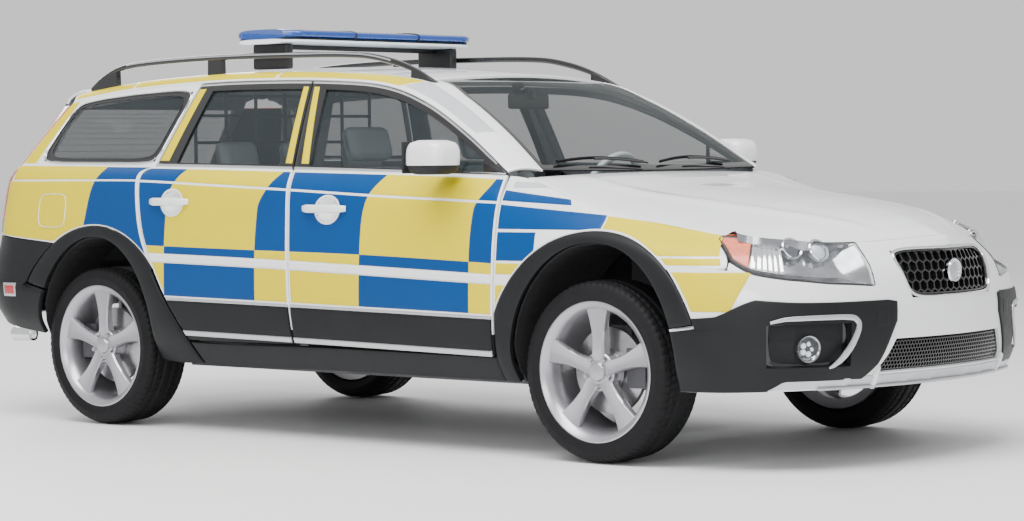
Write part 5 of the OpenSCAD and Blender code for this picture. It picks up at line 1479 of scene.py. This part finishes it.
def make_rail(side, mirror):
    """Roof rail: a slim bar on three feet."""
    x = np.linspace(-1786, 326, 120)
    w = np.clip((x + 1786) / 260, 0, 1) * np.clip((326 - x) / 260, 0, 1)
    foot = roof_under(x)
    path = stack(x, foot[..., 1], RAIL_TOP(x)[..., 1] - 13)
    rail = sweep(f"roof_rail_{side}", path, ring(36, 26, 16, 0.7), "body", GLOSS_BLACK,
                 scale=mix(0.55, 1, w),
                 mirror=mirror)
    if not mirror:
        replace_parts(rail, "roof_rails")
    strip = path[14:-14] + np.array([0, 14, 4])
    sweep(f"roof_rail_strip_{side}", strip, ring(8, 9, 10), "body", SILVER, mirror=mirror)
    for k, (a, b) in enumerate(((-1780, -1610), (-1012, -928), (190, 322))):
        xs = np.linspace(a, b, 16)
        base = roof_under(xs)
        top = RAIL_TOP(xs)[..., 1] - 10
        V, F = [], []
        for q, p, z in zip(xs, base, top):
            V += [(q, p[1] + 15, p[2] - 8), (q, p[1] + 13, z), (q, p[1] - 13, z), (q, p[1] - 15, p[2] - 8)]
        F = [(i * 4 + j, i * 4 + (j + 1) % 4, (i + 1) * 4 + (j + 1) % 4, (i + 1) * 4 + j)
             for i in range(15) for j in range(4)]
        F += [(3, 2, 1, 0), (60, 61, 62, 63)]
        piece(f"rail_foot_{k}_{side}", V, F, "body", GLOSS_BLACK, mirror=mirror)


# ---- mirrors ----
def shell(name, lo, hi, z0, z1, body, mat, mirror, grow=0, power=0.55):
    """Slice of a mirror housing between two heights; the housing tapers to the front."""
    n, m = 36, 10
    mid, half = np.add(lo, hi) / 2, np.subtract(hi, lo) / 2 + grow
    f = lambda v, p: np.sign(v) * np.abs(v) ** p
    a = np.arange(n) * 2 * math.pi / n
    V = []
    for z in np.linspace(z0, z1, m):
        k = np.clip(1 - np.abs((z - mid[2]) / (half[2] + 0.01)) ** 2.6, 0, 1) ** 0.38
        V.append(stack(mid[0] + half[0] * mix(0.45, 1, k) * f(np.cos(a), power),
                       mid[1] + half[1] * mix(0.6, 1, k) * f(np.sin(a), power), z + 0 * a))
    F = [(i * n + j, i * n + (j + 1) % n, (i + 1) * n + (j + 1) % n, (i + 1) * n + j)
         for i in range(m - 1) for j in range(n)]
    F += [tuple(range(n))[::-1], tuple((m - 1) * n + j for j in range(n))]
    return piece(name, np.array(V), F, body, mat, mirror=mirror, sharp=50)


def make_mirror(side, mirror):
    door = f"front_door_{side}"
    lo, hi = (564, 907, 1096), (756, 1076, 1230)
    cap = shell(f"mirror_cap_{side}", lo, hi, 1132, 1230, door, PAINT, mirror)
    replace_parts(cap, f"mirror_{side}")
    shell(f"mirror_base_{side}", lo, hi, 1096, 1131, door, DARK_TRIM, mirror)
    brick(f"mirror_glass_{side}", (560, 925, 1108), (566, 1062, 1218), 2.5, door, CHROME, mirror)
    brick(f"mirror_rim_{side}", (563, 917, 1101), (572, 1069, 1225), 4, door, DARK_TRIM, mirror)
    brick(f"mirror_repeater_{side}", (590, 1062, 1134), (690, 1079, 1148), 5, door, LENS, mirror)
    brick(f"mirror_arm_{side}", (590, 850, 1100), (690, 925, 1122), 9, door, DARK_TRIM, mirror)


# ---- cabin ----
def cushion(name, lo, hi, r, mirror=False, turn=None, about=None, flutes=3, top=True):
    """Padded leather block with rounded sides and shallow seams."""
    n = 18
    half, mid = np.subtract(hi, lo) / 2, np.add(hi, lo) / 2
    bm = bmesh.new()
    bmesh.ops.create_cube(bm, size=2)
    bmesh.ops.subdivide_edges(bm, edges=bm.edges[:], cuts=n, use_grid_fill=True)
    V = np.array([v.co[:] for v in bm.verts])
    F = [tuple(v.index for v in f.verts) for f in bm.faces]
    bm.free()
    core = np.clip(V * half, -(half - r), half - r)
    out = V * half - core
    out /= np.maximum(np.linalg.norm(out, axis=1, keepdims=True), 1e-9)
    P = core + out * r
    axis = 2 if top else 0
    sag = np.prod([np.clip(1 - np.abs(V[:, k]) ** 4, 0, 1) for k in range(3) if k != axis], 0)
    P[:, axis] -= np.sign(V[:, axis]) * 9 * (1 - sag)
    for c in np.linspace(-0.45, 0.45, flutes):
        seam = 5 * np.exp(-((V[:, 1] - c) / 0.03) ** 2) * (np.abs(V[:, axis]) > 0.9)
        P[:, axis] -= np.sign(V[:, axis]) * seam
    P = P + mid
    if turn is not None:
        P = (P - about) @ turned(turn, "Y").T + about
    o = piece(name, P, F, "body", LEATHER, mirror=mirror, sharp=60)
    return o


def make_front_seat(side, mirror):
    x, y = 190, 370
    seat = cushion(f"front_cushion_{side}", (x - 250, y - 175, 510), (x + 268, y + 175, 626), 40, mirror)
    if not mirror:
        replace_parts(seat, "front_seats")
    about = np.array([x - 230, y, 560.0])
    back = lambda name, lo, hi, r, f: cushion(name, np.add(about, lo), np.add(about, hi), r, mirror, -18,
                                              about, f,
                                              top=False)
    back(f"front_back_{side}", (-84, -170, 20), (26, 170, 600), 38, 3)
    back(f"front_headrest_{side}", (-70, -125, 632), (20, 125, 780), 34, 1)
    for k, w in enumerate((-212, 212)):
        cushion(f"front_bolster_{k}_{side}", (x - 235, y + w - 36, 520), (x + 250, y + w + 36, 640), 30,
                mirror,
                flutes=0)
        back(f"front_wing_{k}_{side}", (-70, w - 36, 60), (48, w + 36, 560), 30, 0)


def make_cabin():
    seat = cushion("rear_cushion", (-896, -630, 492), (-404, 630, 616), 42, flutes=5)
    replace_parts(seat, "rear_seat")
    about = np.array([-880, 0, 560.0])
    cushion("rear_back", np.add(about, (-74, -625, 10)), np.add(about, (34, 625, 545)), 36, turn=-14,
            about=about,
            flutes=5, top=False)
    for k, y in enumerate((-400, 0, 400)):
        cushion(f"rear_headrest_{k}", np.add(about, (-60, y - 115, 556)), np.add(about, (20, y + 115, 706)),
                32,
                turn=-14, about=about, flutes=1, top=False)
    for side, mirror in SIDES:
        make_front_seat(side, mirror)
    dash = brick("dash_top", (640, -690, 930), (934, 690, 1012), 34, "body", DARK_TRIM)
    brick("dash_face", (610, -680, 720), (900, 680, 934), 30, "body", TRIM)
    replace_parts(dash, "dashboard")
    brick("dash_strip", (600, -660, 884), (616, 660, 906), 4, "body", SILVER)
    brick("binnacle", (600, 240, 990), (760, 520, 1062), 26, "body", DARK_TRIM)
    brick("radio_screen", (598, -90, 940), (612, 90, 1000), 4, "body", DISPLAY)
    brick("console", (180, -90, 470), (640, 90, 700), 30, "body", TRIM)
    brick("gear_gaiter", (300, -40, 690), (390, 40, 740), 18, "body", LEATHER)
    lathe("gear_knob", [(6, 0), (8, 50), (20, 62), (25, 78), (20, 96), (0.3, 102)], (345, 0, 730), "body",
          DARK_TRIM, 32, turn=turned(90, "X"))
    for k, y in enumerate((-420, -160, 160, 600)):
        brick(f"air_vent_{k}", (604, y - 48, 834), (618, y + 48, 872), 5, "body", GLOSS_BLACK)
    mirror = brick("mirror_inside", (301, -128, 1363), (324, 128, 1428), 11, "body", DARK_TRIM)
    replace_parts(mirror, "interior_mirror")
    brick("mirror_inside_glass", (298, -118, 1372), (303, 118, 1420), 2.4, "body", CHROME)
    brick("mirror_stalk", (318, -12, 1404), (350, 12, 1440), 5, "body", DARK_TRIM)
    tilt = turned(22, "Y")
    a = np.linspace(0, 2 * math.pi, 73)[:-1]
    face = np.array([450.0, 380, 1000])
    rim = face + stack(0 * a, 176 * np.cos(a), 176 * np.sin(a)) @ tilt.T
    wheel = sweep("steering_rim", rim, ring(30, 26, 16), "steering_wheel", LEATHER,
                  up=tilt @ np.array([1.0, 0, 0]),
                  closed=True)
    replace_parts(wheel, "steering_wheel")
    brick("airbag_cover", face + (-24, -62, -52), face + (16, 62, 52), 18, "steering_wheel", DARK_TRIM,
          turn=tilt)
    for k, (a0, w) in enumerate(((0, 30), (180, 30), (270, 40))):
        d = np.array([0, math.cos(math.radians(a0)), math.sin(math.radians(a0))])
        s = np.linspace(46, 172, 8)
        path = face + (s[:, None] * d) @ tilt.T
        sweep(f"steering_spoke_{k}", path, ring(w, 16, 12, 0.7), "steering_wheel",
              SILVER if k == 2 else DARK_TRIM,
              up=tilt @ np.array([1.0, 0, 0]))


make_light_bar()
make_cabin()
for side, mirror in SIDES:
    make_rail(side, mirror)
    make_mirror(side, mirror)


def make_exhaust(side, mirror):
    lathe(f"exhaust_tip_{side}", [(30, -60), (34, 60), (36, 66), (31, 68), (28, 60), (26, -50)],
          (-2345, 560, 352),
          "body", CHROME, 40, mirror, turned(90, "Z"))


for side, mirror in SIDES:
    make_exhaust(side, mirror)


# ---- stage ----
def make_stage():
    me = bpy.data.meshes.new("floor")
    me.from_pydata([(-60, -60, 0), (60, -60, 0), (60, 60, 0), (-60, 60, 0)], [], [(0, 1, 2, 3)])
    me.materials.append(finish("floor", (0.90, 0.90, 0.90), 0.55, 0.01, 2, 0.02, 60))
    floor = bpy.data.objects.new("floor", me)
    bpy.context.scene.collection.objects.link(floor)
    world = bpy.data.worlds.new("studio")
    world.use_nodes = True
    world.node_tree.nodes["Background"].inputs["Color"].default_value = (1, 1, 1, 1)
    world.node_tree.nodes["Background"].inputs["Strength"].default_value = 0.9
    bpy.context.scene.world = world
    for name, at, size, power in (("key", (2, -3, 7), 7, 900), ("side", (6, -10, 4), 5, 350),
                                  ("rear", (-9, 4, 5), 6, 350)):
        data = bpy.data.lights.new(name, "AREA")
        data.shape, data.size, data.size_y = "RECTANGLE", size, size * 0.6
        data.energy = power
        lamp = bpy.data.objects.new(name, data)
        lamp.location = at
        lamp.rotation_euler = (Vector((0, 0, 0.7)) - Vector(at)).to_track_quat("-Z", "Y").to_euler()
        bpy.context.scene.collection.objects.link(lamp)


def finish_cad_nodes():
    """Gives each CAD node that still shows its finish."""
    looks = {"floor_pan": IRON, "sills": CLADDING, "pillars": GLOSS_BLACK, "bulkhead": IRON,
             "wheel_liners": LINER, "subframe": IRON, "rear_axle": IRON, "exhaust": STEEL,
             "engine_block": IRON, "dashboard": DARK_TRIM, "cargo_guard": BLACK_METAL,
             "knuckle_left": IRON, "knuckle_right": IRON}
    for name, node in frame["nodes"].items():
        node.data.materials.clear()
        node.data.materials.append(looks.get(name, CLADDING))


make_stage()
finish_cad_nodes()
